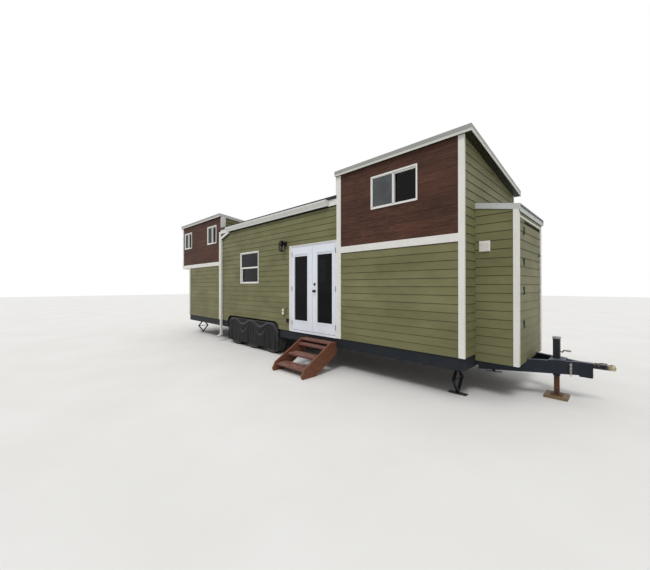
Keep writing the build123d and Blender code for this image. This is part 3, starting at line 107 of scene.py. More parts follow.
class ShaderGraph:
    """Node tree of one finish, built socket by socket."""

    def __init__(self, name: str) -> None:
        """Start a material with its surface shader.

        Args:
            name: Name of the material.
        """
        self.material = bpy.data.materials.new(name)
        self.material.use_nodes = True
        self.tree = self.material.node_tree
        self.shader = self.tree.nodes["Principled BSDF"]

    def node(self, kind: str, **settings: object) -> bpy.types.Node:
        """Add a node.

        Args:
            kind: Node type.
            settings: Attributes of the node.

        Returns:
            The new node.
        """
        made = self.tree.nodes.new(kind)
        for key, value in settings.items():
            setattr(made, key, value)
        return made

    def feed(self, socket: Socket, source: object) -> None:
        """Link a socket, or set its value where the source is a plain one.

        Args:
            socket: Socket of the node that is fed.
            source: Another node's socket, or a value.
        """
        if isinstance(source, Socket):
            self.tree.links.new(source, socket)
        else:
            socket.default_value = source

    def plain(self, **values: object) -> None:
        """Set uniform values on the surface shader, named with underscores for blanks."""
        for key, value in values.items():
            self.shader.inputs[key.replace("_", " ")].default_value = value

    def place(self, scale: Sequence[float] = (1, 1, 1), turn: Sequence[float] = (0, 0, 0)) -> Socket:
        """Object coordinates that are turned and scaled.

        Args:
            scale: Scale along each axis.
            turn: Turn about each axis in radians.

        Returns:
            The vector socket.
        """
        coords = self.node("ShaderNodeTexCoord")
        mapping = self.node("ShaderNodeMapping")
        mapping.inputs["Rotation"].default_value = turn
        mapping.inputs["Scale"].default_value = scale
        self.tree.links.new(coords.outputs["Object"], mapping.inputs["Vector"])
        return mapping.outputs["Vector"]

    def noise(self, vector: Socket, scale: float, detail: float = 4.0, roughness: float = 0.55,
              distortion: float = 0.0) -> Socket:
        """Noise value over a vector.

        Args:
            vector: Coordinates.
            scale: Pattern scale.
            detail: Octaves.
            roughness: Weight of the fine octaves.
            distortion: Warp of the pattern.

        Returns:
            The value socket.
        """
        made = self.node("ShaderNodeTexNoise")
        self.tree.links.new(vector, made.inputs["Vector"])
        for key, value in (("Scale", scale), ("Detail", detail), ("Roughness", roughness),
                           ("Distortion", distortion)):
            made.inputs[key].default_value = value
        return made.outputs["Fac"]

    def attribute(self, name: str) -> Socket:
        """Value of a mesh attribute."""
        return self.node("ShaderNodeAttribute", attribute_name=name).outputs["Fac"]

    def part_of(self, vector: Socket, axis: str) -> Socket:
        """Part of a vector along one axis.

        Args:
            vector: The vector.
            axis: X, Y or Z.

        Returns:
            The value socket.
        """
        split = self.node("ShaderNodeSeparateXYZ")
        self.tree.links.new(vector, split.inputs[0])
        return split.outputs[axis]

    def along(self, axis: str) -> Socket:
        """Place of the shaded point along one axis of the model."""
        return self.part_of(self.place(), axis)

    def height(self) -> Socket:
        """Height above ground of the shaded point."""
        return self.along("Z")

    def upward(self) -> Socket:
        """How far the surface faces up, from -1 for an underside to 1 for a top."""
        return self.part_of(self.node("ShaderNodeNewGeometry").outputs["Normal"], "Z")

    def maths(self, operation: str, first: object, second: object) -> Socket:
        """Result of a sum on two values.

        Args:
            operation: Kind of sum.
            first: First value.
            second: Second value.

        Returns:
            The value socket.
        """
        made = self.node("ShaderNodeMath", operation=operation)
        self.feed(made.inputs[0], first)
        self.feed(made.inputs[1], second)
        return made.outputs[0]

    def times(self, first: object, second: object) -> Socket:
        """Product of two values."""
        return self.maths("MULTIPLY", first, second)

    def map_range(self, value: Socket, ends: str, low: float, high: float) -> Socket:
        """Value mapped between 0 to 1 and another range, and held in it.

        Args:
            value: The value.
            ends: From where the value comes in the other range, or To where it goes out in it.
            low: Lower end of the other range.
            high: Upper end.

        Returns:
            The value socket.
        """
        made = self.node("ShaderNodeMapRange", clamp=True)
        self.tree.links.new(value, made.inputs["Value"])
        made.inputs[f"{ends} Min"].default_value = low
        made.inputs[f"{ends} Max"].default_value = high
        return made.outputs["Result"]

    def span(self, value: Socket, low: float, high: float) -> Socket:
        """Value spread from a range to 0 to 1 and held there."""
        return self.map_range(value, "From", low, high)

    def rough(self, value: Socket, low: float, high: float) -> Socket:
        """Roughness, or another plain value, that follows a pattern between two values."""
        return self.map_range(value, "To", low, high)

    def share(self, value: Socket, low: float, high: float, most: float) -> Socket:
        """Share that grows from nothing to its most over a range of a pattern."""
        return self.times(self.span(value, low, high), most)

    def ramp(self, value: Socket, stops: Sequence[tuple[float, Colour]]) -> Socket:
        """Colour ramp.

        Args:
            value: Position on the ramp.
            stops: Positions and their colours, from low to high.

        Returns:
            The colour socket.
        """
        made = self.node("ShaderNodeValToRGB")
        elements = made.color_ramp.elements
        while len(elements) < len(stops):
            elements.new(0.5)
        for element, (position, tone) in zip(elements, stops):
            element.position = position
            element.color = tone
        self.tree.links.new(value, made.inputs[0])
        return made.outputs["Color"]

    def mix(self, factor: object, first: object, second: object) -> Socket:
        """Blend of two colours.

        Args:
            factor: Share of the second colour.
            first: First colour.
            second: Second colour.

        Returns:
            The colour socket.
        """
        made = self.node("ShaderNodeMix", data_type="RGBA")
        self.feed(made.inputs[0], factor)
        self.feed(made.inputs[6], first)
        self.feed(made.inputs[7], second)
        return made.outputs[2]

    def bump(self, height: Socket, distance: float, strength: float = 1.0) -> None:
        """Raise the surface by a height pattern.

        Args:
            height: Height pattern from 0 to 1.
            distance: Height of the full pattern in metres.
            strength: Share of the effect.
        """
        made = self.node("ShaderNodeBump")
        made.inputs["Distance"].default_value = distance
        made.inputs["Strength"].default_value = strength
        self.tree.links.new(height, made.inputs["Height"])
        linked = self.shader.inputs["Normal"]
        if linked.is_linked:
            self.tree.links.new(linked.links[0].from_socket, made.inputs["Normal"])
        self.tree.links.new(made.outputs["Normal"], linked)

    def paint(self, colour: Socket, roughness: Socket | None = None) -> None:
        """Link what the surface shader shows.

        Args:
            colour: Surface colour.
            roughness: Roughness where it varies, or None where it is plain.
        """
        self.tree.links.new(colour, self.shader.inputs["Base Color"])
        if roughness is not None:
            self.tree.links.new(roughness, self.shader.inputs["Roughness"])


@dataclass(frozen=True)
class Finish:
    """Finish of one kind of surface."""

    name: str

    def build(self) -> bpy.types.Material:
        """Make the material.

        Returns:
            The material.
        """
        raise NotImplementedError


@dataclass(frozen=True)
class BoardPaint(Finish):
    """Paint or stain on level boards: embossed grain, a tint per board, splash dirt below, painted shadow under
    butts.
    """

    light: Colour
    dark: Colour
    streak: Colour
    streak_share: float = 0.35
    tint_share: float = 0.35
    fibre_share: float = 0.15
    gloss: float = 0.5
    gloss_range: float = 0.2
    shine: float = 0.35
    grain: float = 0.0006
    dirt: Colour = shade(84, 78, 62)
    dirt_share: float = 0.3
    dirt_top: float = 0.95
    dirt_full: float = 0.6
    # Colour of the painted shadow under each butt and in the joints, and how much of it shows.
    shadow: Colour = shade(42, 42, 24)
    shadow_share: float = 0.85

    def build(self) -> bpy.types.Material:
        """Make the material.

        Returns:
            The material.
        """
        graph = ShaderGraph(self.name)
        long_grain = graph.place(scale=(1.6, 1.6, 42.0))
        grain = graph.noise(long_grain, 3.0, detail=6.0, roughness=0.62)
        patches = graph.noise(graph.place(scale=(0.8, 0.8, 1.4)), 1.6, detail=3.0)
        base = graph.ramp(graph.span(patches, 0.3, 0.7), [(0.0, self.dark), (1.0, self.light)])
        streaked = graph.mix(graph.share(grain, 0.5, 0.72, self.streak_share), base, self.streak)
        fibre = graph.noise(long_grain, 9.0, detail=4.0, roughness=0.7)
        lined = graph.mix(graph.share(fibre, 0.5, 0.64, self.fibre_share), streaked, self.dark)
        toned = graph.mix(graph.times(graph.attribute("board"), self.tint_share), lined, self.dark)
        splash = graph.times(graph.span(graph.height(), self.dirt_top, self.dirt_full),
                             graph.span(patches, 0.35, 0.75))
        dusty = graph.mix(graph.times(splash, self.dirt_share), toned, self.dirt)
        # Painted shadow: the marked faces under each butt and in the joints take the shadow colour.
        shaded = graph.mix(graph.times(graph.attribute("lap"), self.shadow_share), dusty, self.shadow)
        graph.paint(shaded, graph.rough(grain, self.gloss, self.gloss + self.gloss_range))
        graph.bump(grain, self.grain)
        graph.plain(IOR=1.45, Specular_IOR_Level=self.shine)
        return graph.material


@dataclass(frozen=True)
class PlainPaint(Finish):
    """Brushed or sprayed paint with faint patches, grime that gathers low down, and an optional painted highlight
    on tops and painted shade on undersides.
    """

    tone: Colour
    grime: Colour
    grime_share: float = 0.25
    grime_top: float = 1.6
    grime_full: float = 0.2
    gloss: float = 0.4
    gloss_range: float = 0.18
    peel: float = 0.0002
    shine: float = 0.5
    # Painted highlight on faces that face up, and painted shade on faces that face down.
    topside: Colour | None = None
    underside: Colour | None = None

    def build(self) -> bpy.types.Material:
        """Make the material.

        Returns:
            The material.
        """
        graph = ShaderGraph(self.name)
        patches = graph.noise(graph.place(scale=(1.0, 1.0, 0.6)), 5.0, detail=5.0)
        fine = graph.noise(graph.place(), 160.0, detail=2.0)
        low = graph.span(graph.height(), self.grime_top, self.grime_full)
        lift = graph.maths("ADD", graph.times(low, 0.5), 0.5)
        share = graph.times(graph.span(patches, 0.42, 0.75), lift)
        tone = graph.mix(graph.times(share, self.grime_share), self.tone, self.grime)
        # Painted highlight: faces that face up take the top colour.
        if self.topside is not None:
            tone = graph.mix(graph.span(graph.upward(), 0.5, 0.95), tone, self.topside)
        # Painted shade: faces that face down take the underside colour.
        if self.underside is not None:
            tone = graph.mix(graph.span(graph.upward(), -0.75, -0.92), tone, self.underside)
        graph.paint(tone, graph.rough(patches, self.gloss, self.gloss + self.gloss_range))
        graph.bump(fine, self.peel, 0.6)
        graph.plain(IOR=1.5, Specular_IOR_Level=self.shine)
        return graph.material


@dataclass(frozen=True)
class RustedSteel(Finish):
    """Bare or thinly painted steel with rust that breaks through in patches."""

    tone: Colour
    rust: Colour
    rust_share: float = 0.5
    rust_gloss: float = 0.9
    gloss: float = 0.45
    metal: float = 0.6
    shine: float = 0.5
    paint: Colour | None = None
    paint_to: float = 0.0
    paint_fade: float = 0.05

    def build(self) -> bpy.types.Material:
        """Make the material.

        Returns:
            The material.
        """
        graph = ShaderGraph(self.name)
        spots = graph.noise(graph.place(), 22.0, detail=8.0, roughness=0.7)
        mask = graph.span(spots, 0.62 - 0.3 * self.rust_share, 0.72 - 0.2 * self.rust_share)
        tone = graph.mix(mask, self.tone, self.rust)
        if self.paint is not None:
            bare = graph.span(graph.along("X"), self.paint_to - self.paint_fade,
                              self.paint_to + self.paint_fade)
            # Faces that face up show the bare tone through the paint: partly wear, partly a painted highlight
            # along the tops.
            worn = graph.share(graph.upward(), 0.6, 0.95, 0.45)
            tone = graph.mix(graph.maths("MAXIMUM", bare, worn), self.paint, tone)
        graph.paint(tone, graph.rough(mask, self.gloss, self.rust_gloss))
        graph.feed(graph.shader.inputs["Metallic"], graph.rough(mask, self.metal, 0.0))
        graph.bump(spots, 0.0006, 0.7)
        graph.plain(Specular_IOR_Level=self.shine)
        return graph.material


@dataclass(frozen=True)
class StainedTimber(Finish):
    """Timber with its grain along one direction, rings, fibre and worn tops."""

    light: Colour
    dark: Colour
    along: Sequence[float] = (1.0, 14.0, 14.0)
    turn: Sequence[float] = (0.0, 0.0, 0.0)
    worn: Colour | None = None
    worn_share: float = 0.45
    gloss: float = 0.5
    gloss_range: float = 0.22

    def build(self) -> bpy.types.Material:
        """Make the material.

        Returns:
            The material.
        """
        graph = ShaderGraph(self.name)
        lengthwise = graph.place(scale=self.along, turn=self.turn)
        rings = graph.noise(lengthwise, 4.0, detail=5.0, roughness=0.6, distortion=0.6)
        fibre = graph.noise(lengthwise, 30.0, detail=3.0)
        stops = [(0.0, self.dark), (0.55, self.light), (1.0, self.dark)]
        base = graph.ramp(graph.span(rings, 0.32, 0.68), stops)
        fine = graph.mix(graph.share(fibre, 0.5, 0.75, 0.35), base, self.dark)
        if self.worn is not None:
            scuffs = graph.noise(graph.place(), 7.0, detail=4.0)
            top = graph.times(graph.span(graph.upward(), 0.6, 0.95), graph.span(scuffs, 0.42, 0.66))
            fine = graph.mix(graph.times(top, self.worn_share), fine, self.worn)
        graph.paint(fine, graph.rough(rings, self.gloss, self.gloss + self.gloss_range))
        graph.bump(fibre, 0.0008, 0.7)
        return graph.material


@dataclass(frozen=True)
class ClearPane(Finish):
    """Clear glass with a faint film of dust."""

    tone: Colour
    film: float = 0.02
    film_tint: float = 0.93
    index: float = 1.2

    def build(self) -> bpy.types.Material:
        """Make the material.

        Returns:
            The material.
        """
        graph = ShaderGraph(self.name)
        dust = graph.noise(graph.place(), 3.0, detail=6.0)
        filmed = tuple(self.film_tint * part for part in self.tone[:3]) + (1.0,)
        graph.paint(graph.mix(graph.span(dust, 0.3, 0.7), self.tone, filmed),
                    graph.rough(graph.span(dust, 0.4, 0.8), 0.0, self.film))
        graph.plain(IOR=self.index, Transmission_Weight=1.0)
        return graph.material


@dataclass(frozen=True)
class RubberTread(Finish):
    """Matt rubber, dusty low down."""

    tone: Colour = shade(38, 38, 38)
    dust: Colour = shade(104, 98, 88)
    dust_share: float = 0.6
    dust_top: float = 0.5

    def build(self) -> bpy.types.Material:
        """Make the material.

        Returns:
            The material.
        """
        graph = ShaderGraph(self.name)
        spots = graph.noise(graph.place(), 14.0, detail=7.0, roughness=0.65)
        low = graph.span(graph.height(), self.dust_top, 0.0)
        share = graph.times(graph.span(spots, 0.4, 0.75), low)
        graph.paint(graph.mix(graph.times(share, self.dust_share), self.tone, self.dust),
                    graph.rough(spots, 0.62, 0.9))
        graph.bump(spots, 0.0004)
        return graph.material


@dataclass(frozen=True)
class CoverCloth(Finish):
    """Dark coated cloth with a fine weave, a soft sheen, and a pale tone on the folds that face up that is partly
    dust and partly painted highlight.
    """

    tone: Colour = shade(10, 10, 11)
    pale: Colour = shade(30, 29, 31)
    # Pale tone of the folds that face up: partly dust, partly painted highlight.
    dusty: Colour = shade(82, 79, 86)

    def build(self) -> bpy.types.Material:
        """Make the material.

        Returns:
            The material.
        """
        graph = ShaderGraph(self.name)
        weave = graph.noise(graph.place(scale=(1.0, 1.0, 2.2)), 420.0, detail=1.0)
        clouds = graph.noise(graph.place(), 4.5, detail=6.0, roughness=0.6)
        cloth = graph.mix(graph.span(clouds, 0.42, 0.8), self.tone, self.pale)
        # Folds that face up take the pale tone: partly dust, partly painted highlight.
        graph.paint(graph.mix(graph.span(graph.upward(), 0.03, 0.45), cloth, self.dusty),
                    graph.rough(clouds, 0.5, 0.7))
        graph.bump(clouds, 0.004, 0.5)
        graph.bump(weave, 0.0003, 0.6)
        graph.plain(Sheen_Weight=0.04, Sheen_Roughness=0.4, IOR=1.45, Specular_IOR_Level=0.25)
        return graph.material


@dataclass(frozen=True)
class ScreenCloth(Finish):
    """Grey insect screen with a fine mottled weave."""

    tone: Colour = shade(86, 90, 92)
    wire: Colour = shade(48, 50, 52)
    pitch: float = 900.0

    def build(self) -> bpy.types.Material:
        """Make the material.

        Returns:
            The material.
        """
        graph = ShaderGraph(self.name)
        weave = graph.noise(graph.place(), self.pitch, detail=1.0)
        clouds = graph.noise(graph.place(), 3.0, detail=4.0)
        toned = graph.mix(graph.span(clouds, 0.35, 0.75), self.tone, self.wire)
        graph.paint(graph.mix(graph.span(weave, 0.45, 0.6), toned, self.wire), graph.rough(clouds, 0.6, 0.8))
        graph.bump(weave, 0.0002, 0.5)
        return graph.material


@dataclass(frozen=True)
class RibbedSheet(Finish):
    """Dark sheet roofing with faint oil-canning, pale dust and another colour on faces that face down, which is
    painted shade where it is darker.
    """

    tone: Colour
    dust: Colour
    underside: Colour
    dust_share: float = 0.5

    def build(self) -> bpy.types.Material:
        """Make the material.

        Returns:
            The material.
        """
        graph = ShaderGraph(self.name)
        clouds = graph.noise(graph.place(scale=(1.0, 0.5, 1.0)), 2.5, detail=6.0)
        top = graph.mix(graph.share(clouds, 0.4, 0.75, self.dust_share), self.tone, self.dust)
        # Faces that face down take the underside colour, which is painted shade where it is darker than the top.
        graph.paint(graph.mix(graph.span(graph.upward(), -0.3, -0.8), top, self.underside),
                    graph.rough(clouds, 0.38, 0.62))
        graph.bump(clouds, 0.003, 0.5)
        graph.plain(Metallic=0.1, Specular_IOR_Level=0.3)
        return graph.material


SIDING = BoardPaint("siding_green", light=shade(124, 122, 86), dark=shade(100, 98, 64),
                    streak=shade(142, 140, 104), streak_share=0.3)
STAIN = BoardPaint("boards_brown", light=shade(86, 52, 38), dark=shade(50, 29, 21), streak=shade(132, 94, 78),
                   streak_share=0.7, tint_share=0.45, fibre_share=0.6, gloss=0.6, shine=0.3, grain=0.0012)
LINING = BoardPaint("wall_lining", light=shade(112, 108, 100), dark=shade(96, 92, 86),
                    streak=shade(118, 114, 106), tint_share=0.0, dirt=shade(96, 92, 86))
TRIM = PlainPaint("trim_white", tone=shade(224, 222, 216), grime=shade(158, 150, 134), grime_share=0.3)
# Its underside colour is painted shade under the eaves.
FASCIA = PlainPaint("fascia_pale", tone=shade(204, 203, 196), grime=shade(150, 146, 138),
                    underside=shade(46, 46, 34))
# A darker copy of the fascia paint, as painted shade on the closet fascia, with painted shade on its underside
# too.
CLOSET_FASCIA_SHADED = PlainPaint("closet_fascia_grey", tone=shade(186, 189, 187), grime=shade(140, 138, 132),
                           underside=shade(46, 46, 34))
FLASHING = PlainPaint("flashing_grey", tone=shade(150, 151, 146), grime=shade(112, 110, 104), grime_share=0.3,
                      gloss=0.35)
SEAL = PlainPaint("seal_black", tone=shade(16, 16, 17), grime=shade(44, 42, 40), grime_share=0.2, gloss=0.6,
                  shine=0.2)
SCREW = RustedSteel("screw_head", tone=shade(120, 116, 110), rust=shade(98, 66, 44), rust_share=0.35,
                    metal=0.7)
BULB = PlainPaint("bulb_frosted", tone=shade(222, 214, 192), grime=shade(180, 170, 150), grime_share=0.2,
                  gloss=0.2)
SCREEN = ScreenCloth("screen_cloth")
OUTLET = PlainPaint("outlet_olive", tone=shade(132, 128, 96), grime=shade(104, 100, 72), grime_share=0.35)
CAP = PlainPaint("jack_cap_grey", tone=shade(150, 152, 156), grime=shade(96, 92, 88), grime_share=0.4)
LEG = RustedSteel("jack_leg_rusty", tone=shade(58, 50, 44), rust=shade(104, 70, 42), rust_share=0.8,
                  metal=0.2, shine=0.3)
GRIP = PlainPaint("crank_grip_beige", tone=shade(168, 160, 144), grime=shade(104, 92, 76), grime_share=0.4,
                  gloss=0.5)
NODE_FINISHES: dict[str, Finish] = {"outlet_box": OUTLET, "jack_leg": LEG, "closet_fascia": CLOSET_FASCIA_SHADED}
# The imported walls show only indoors, so their two slots take the lining. The boards outside bring their own.
SLOT_FINISHES: dict[str, Finish] = {
    "frame_steel": PlainPaint("frame_navy", tone=shade(27, 32, 39), grime=shade(58, 54, 50), grime_share=0.3,
                              gloss=0.5, shine=0.2),
    # The lighter colour on its tops is a painted highlight.
    "tongue_steel": PlainPaint("tongue_navy", tone=shade(20, 29, 38), grime=shade(60, 54, 48),
                               grime_share=0.35, gloss=0.45, shine=0.25, topside=shade(86, 92, 104)),
    # Its tops are lighter: partly worn paint, partly a painted highlight.
    "coupler_steel": RustedSteel("coupler_rusty", tone=shade(196, 188, 152), rust=shade(128, 82, 46),
                                 rust_share=0.4, paint=shade(26, 32, 44), paint_to=5.915),
    "chain_steel": RustedSteel("chain_zinc", tone=shade(176, 174, 168), rust=shade(120, 84, 56),
                               rust_share=0.3, metal=0.85),
    "pad_timber": StainedTimber("pad_weathered", light=shade(126, 104, 74), dark=shade(84, 68, 48)),
    "axle_steel": RustedSteel("axle_black", tone=shade(30, 30, 32), rust=shade(70, 50, 38), rust_share=0.3,
                              metal=0.1, shine=0.25),
    "tyre": RubberTread("tyre_rubber"),
    "rim": PlainPaint("rim_white", tone=shade(206, 206, 202), grime=shade(104, 96, 84), grime_share=0.6,
                      gloss=0.35),
    "well_steel": PlainPaint("well_black", tone=shade(14, 14, 15), grime=shade(40, 38, 36), grime_share=0.3,
                             gloss=0.6, shine=0.15),
    "cover_vinyl": CoverCloth("cover_cloth"),
    "jack_stand_steel": RustedSteel("stabiliser_black", tone=shade(30, 33, 38), rust=shade(74, 54, 40),
                                    rust_share=0.25, metal=0.1, shine=0.25),
    "floor_ply": StainedTimber("floor_planks", light=shade(110, 88, 64), dark=shade(84, 66, 46)),
    "lap_siding": LINING,
    "stained_boards": LINING,
    # The darker underside of the tower roofs is painted shade under their overhangs.
    "roof_metal": RibbedSheet("roof_dark", tone=shade(62, 63, 66), dust=shade(110, 108, 104),
                              underside=shade(38, 38, 24)),
    "low_roof_metal": RibbedSheet("low_roof_dark", tone=shade(30, 30, 31), dust=shade(66, 65, 62),
                                  underside=shade(96, 92, 86)),
    "trim_white": TRIM,
    "fascia_paint": FASCIA,
    "window_vinyl": PlainPaint("window_vinyl", tone=shade(228, 227, 222), grime=shade(176, 172, 162),
                               grime_share=0.2, gloss=0.3),
    "window_glass": ClearPane("window_glass", tone=(0.065, 0.08, 0.09, 1.0), index=1.25),
    "door_paint": PlainPaint("door_white", tone=shade(226, 230, 238), grime=shade(170, 168, 160),
                             grime_share=0.2, gloss=0.3),
    "door_glass": ClearPane("door_glass", tone=(0.05, 0.062, 0.075, 1.0)),
    "hinge_steel": RustedSteel("hinge_satin", tone=shade(128, 128, 128), rust=shade(110, 100, 92),
                               rust_share=0.1, metal=0.8),
    "lock_black": PlainPaint("lock_black", tone=shade(14, 14, 15), grime=shade(44, 42, 40), grime_share=0.2,
                             gloss=0.3, shine=0.25),
    "hinge_black": PlainPaint("hinge_black", tone=shade(14, 14, 15), grime=shade(48, 42, 36), gloss=0.45,
                              shine=0.2),
    "box_plastic": PlainPaint("box_white", tone=shade(228, 222, 216), grime=shade(168, 164, 154),
                              grime_share=0.3, gloss=0.35),
    "inlet_plastic": PlainPaint("inlet_black", tone=shade(18, 18, 20), grime=shade(54, 52, 50),
                                grime_share=0.3, gloss=0.45, shine=0.2),
    # Its underside colour is painted shadow under the gutter.
    "gutter_aluminium": PlainPaint("gutter_white", tone=shade(214, 214, 210), grime=shade(168, 164, 152),
                                   grime_share=0.3, gloss=0.3, underside=shade(30, 31, 26)),
    "lantern_metal": PlainPaint("lantern_black", tone=shade(14, 13, 12), grime=shade(52, 44, 36),
                                grime_share=0.3, gloss=0.42, shine=0.2),
    "lantern_glass": ClearPane("lantern_glass", tone=(0.36, 0.35, 0.31, 1.0), index=1.15),
    "stringer_timber": StainedTimber("stringer_orange", light=shade(122, 72, 46), dark=shade(74, 42, 26),
                                     along=(10.0, 1.2, 10.0), turn=(-0.52, 0.0, 0.0)),
    "tread_timber": StainedTimber("tread_red", light=shade(118, 76, 64), dark=shade(76, 46, 38),
                                  worn=shade(160, 130, 116)),
}


@dataclass(frozen=True)
class Plan:
    """Lines of the house that its pieces line up with; the seams are where towers and low middle meet."""

    rear: float
    front: float
    near: float
    far: float
    base: float
    tail: float
    seam_rear: float
    seam_front: float

    @classmethod
    def read(cls) -> "Plan":
        """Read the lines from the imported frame.

        Returns:
            The lines.
        """
        low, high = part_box("tower_lower_walls")
        return cls(rear=low.x, front=high.x, near=low.y, far=high.y, base=low.z,
                   tail=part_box("tower_upper_walls")[0].x, seam_rear=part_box("mid_side_walls")[0].x,
                   seam_front=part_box("wall_over_door")[1].x)

    @property
    def middle(self) -> float:
        """Line along the house, midway between its sides."""
        return (self.near + self.far) / 2


class Workshop:
    """Finishes that have been made, measures of the frame, and the steps that turn a bmesh into a piece."""

    def __init__(self, frame: dict) -> None:
        """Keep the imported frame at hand.

        Args:
            frame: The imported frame, as it was loaded.
        """
        self.frame = frame
        self.plan = Plan.read()
        self.made: dict[str, bpy.types.Material] = {}

    def coat(self, finish: Finish) -> bpy.types.Material:
        """Material of a finish, made once.

        Args:
            finish: The finish.

        Returns:
            The material.
        """
        if finish.name not in self.made:
            self.made[finish.name] = finish.build()
        return self.made[finish.name]

    def piece(self, name: str, mesh: Mesh, slot: str, finish: Finish | None = None, body: str = HOUSE,
              smooth: float | None = None) -> bpy.types.Object:
        """Turn a bmesh into a piece that rides on a body.

        Args:
            name: Name of the piece.
            mesh: Its shape, which is used up.
            slot: Material slot that it takes its finish from.
            finish: Its finish, or None for that of the slot.
            body: Body that it rides on.
            smooth: Angle under which edges are shaded smooth, or None for flat faces.

        Returns:
            The new object.
        """
        bmesh.ops.recalc_face_normals(mesh, faces=mesh.faces[:])
        if smooth is not None:
            for face in mesh.faces:
                face.smooth = True
            for edge in mesh.edges:
                if len(edge.link_faces) == 2 and edge.calc_face_angle(0.0) > smooth:
                    edge.smooth = False
        data = bpy.data.meshes.new(name)
        mesh.to_mesh(data)
        mesh.free()
        data.materials.append(self.coat(finish or SLOT_FINISHES[slot]))
        made = bpy.data.objects.new(name, data)
        bpy.context.scene.collection.objects.link(made)
        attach(made, body)
        LOG.info("%s: %d faces", name, len(data.polygons))
        return made

    def joined(self, node: str) -> Mesh:
        """Copy of a node's mesh with its loose triangles joined.

        Args:
            node: Name of the node.

        Returns:
            The copy.
        """
        mesh = bmesh.new()
        mesh.from_mesh(self.frame["nodes"][node].data)
        bmesh.ops.remove_doubles(mesh, verts=mesh.verts[:], dist=SAME_SPOT)
        return mesh

    def islands(self, node: str) -> list[tuple[Vector, Vector]]:
        """Boxes of the loose parts of a node.

        Args:
            node: Name of the node.

        Returns:
            Lowest and highest corner of each part, from the rear to the front.
        """
        mesh = self.joined(node)
        left = set(mesh.verts)
        boxes = []
        while left:
            front = [left.pop()]
            found = list(front)
            while front:
                for edge in front.pop().link_edges:
                    for vert in edge.verts:
                        if vert in left:
                            left.discard(vert)
                            front.append(vert)
                            found.append(vert)
            spots = [vert.co for vert in found]
            boxes.append((Vector(map(min, zip(*spots))), Vector(map(max, zip(*spots)))))
        mesh.free()
        return sorted(boxes, key=lambda box: (round(box[0].x, 4), round(box[0].y, 4), round(box[0].z, 4)))

    def edge_top(self, node: str, across: float) -> float:
        """Highest point of a node at a distance across the house.

        Args:
            node: Name of the node.
            across: Place along Y of the edge that is measured.

        Returns:
            The height above ground.
        """
        spots = [vert.co for vert in self.frame["nodes"][node].data.vertices]
        return max(spot.z for spot in spots if abs(spot.y - across) < SAME_LINE)

    def pair_spans(self, node: str, along: float, level: float) -> list[Span]:
        """Ranges across the house of a node's two sides, in a cut square to the house's length.

        Args:
            node: Name of the node.
            along: Place of the cut along X.
            level: Height over which the cut counts.

        Returns:
            Lowest and highest Y of each side that the cut meets.
        """
        mesh = self.joined(node)
        cut = bmesh.ops.bisect_plane(mesh, geom=everything_of(mesh), dist=ON_PLANE, plane_co=(along, 0, 0),
                                     plane_no=(1, 0, 0))
        spots = [item.co.y for item in cut["geom_cut"]
                 if isinstance(item, bmesh.types.BMVert) and item.co.z > level]
        mesh.free()
        low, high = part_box(node)
        middle = (low.y + high.y) / 2
        sides = [y for y in spots if y < middle], [y for y in spots if y >= middle]
        return [(min(side), max(side)) for side in sides if side]


def everything_of(mesh: Mesh) -> list[object]:
    """All vertices, edges and faces of a mesh."""
    return mesh.verts[:] + mesh.edges[:] + mesh.faces[:]


def add_block(mesh: Mesh, low: Sequence[float], high: Sequence[float]) -> list[bmesh.types.BMVert]:
    """Add a rectangular block between two corners.

    Args:
        mesh: The mesh that takes the block.
        low: Lowest corner.
        high: Highest corner.

    Returns:
        The block's vertices.
    """
    centre = [(a + b) / 2 for a, b in zip(low, high)]
    size = [abs(b - a) for a, b in zip(low, high)]
    matrix = Matrix.Translation(centre) @ Matrix.Diagonal((*size, 1.0))
    return bmesh.ops.create_cube(mesh, size=1.0, matrix=matrix)["verts"]


def add_rod(mesh: Mesh, start: Sequence[float], way: Sequence[float], radius: float, sides: int = 12,
            end_radius: float | None = None) -> list[bmesh.types.BMVert]:
    """Add a round rod or cone.

    Args:
        mesh: The mesh that takes the rod.
        start: Centre of its first end.
        way: From there to the centre of its second end.
        radius: Radius at the start.
        sides: Number of sides.
        end_radius: Radius at the end, if it differs.

    Returns:
        The rod's vertices.
    """
    along = Vector(way)
    turn = along.to_track_quat("Z", "Y").to_matrix().to_4x4()
    matrix = Matrix.Translation(Vector(start) + along / 2) @ turn
    last = radius if end_radius is None else end_radius
    return bmesh.ops.create_cone(mesh, cap_ends=True, segments=sides, radius1=radius, radius2=last,
                                 depth=along.length, matrix=matrix)["verts"]


def soften(mesh: Mesh, width: float, segments: int = 2, sharp: float = 0.6) -> None:
    """Bevel the sharp edges of a mesh.

    Args:
        mesh: The mesh.
        width: Width of the bevel.
        segments: Number of segments.
        sharp: Angle over which an edge is bevelled.
    """
    edges = [e for e in mesh.edges if len(e.link_faces) == 2 and e.calc_face_angle(0.0) > sharp]
    bmesh.ops.bevel(mesh, geom=edges, offset=width, offset_type="OFFSET", affect="EDGES", segments=segments,
                    profile=0.5, material=-1)


def take_in(target: Mesh, part: Mesh) -> None:
    """Add a finished part to a mesh and free it.

    Args:
        target: Mesh that takes the part.
        part: The part, which is used up.
    """
    data = bpy.data.meshes.new("part")
    part.to_mesh(data)
    part.free()
    target.from_mesh(data)
    bpy.data.meshes.remove(data)


def rectangle(u0: float, u1: float, z0: float, z1: float) -> Outline:
    """Outline of a rectangle, counter-clockwise as seen from outside."""
    return [(u0, z0), (u1, z0), (u1, z1), (u0, z1)]


class Side(Enum):
    """Faces of the house, by the turn about Z that brings a panel onto them."""

    NEAR = 0.0
    FRONT = math.pi / 2
    FAR = math.pi
    REAR = -math.pi / 2


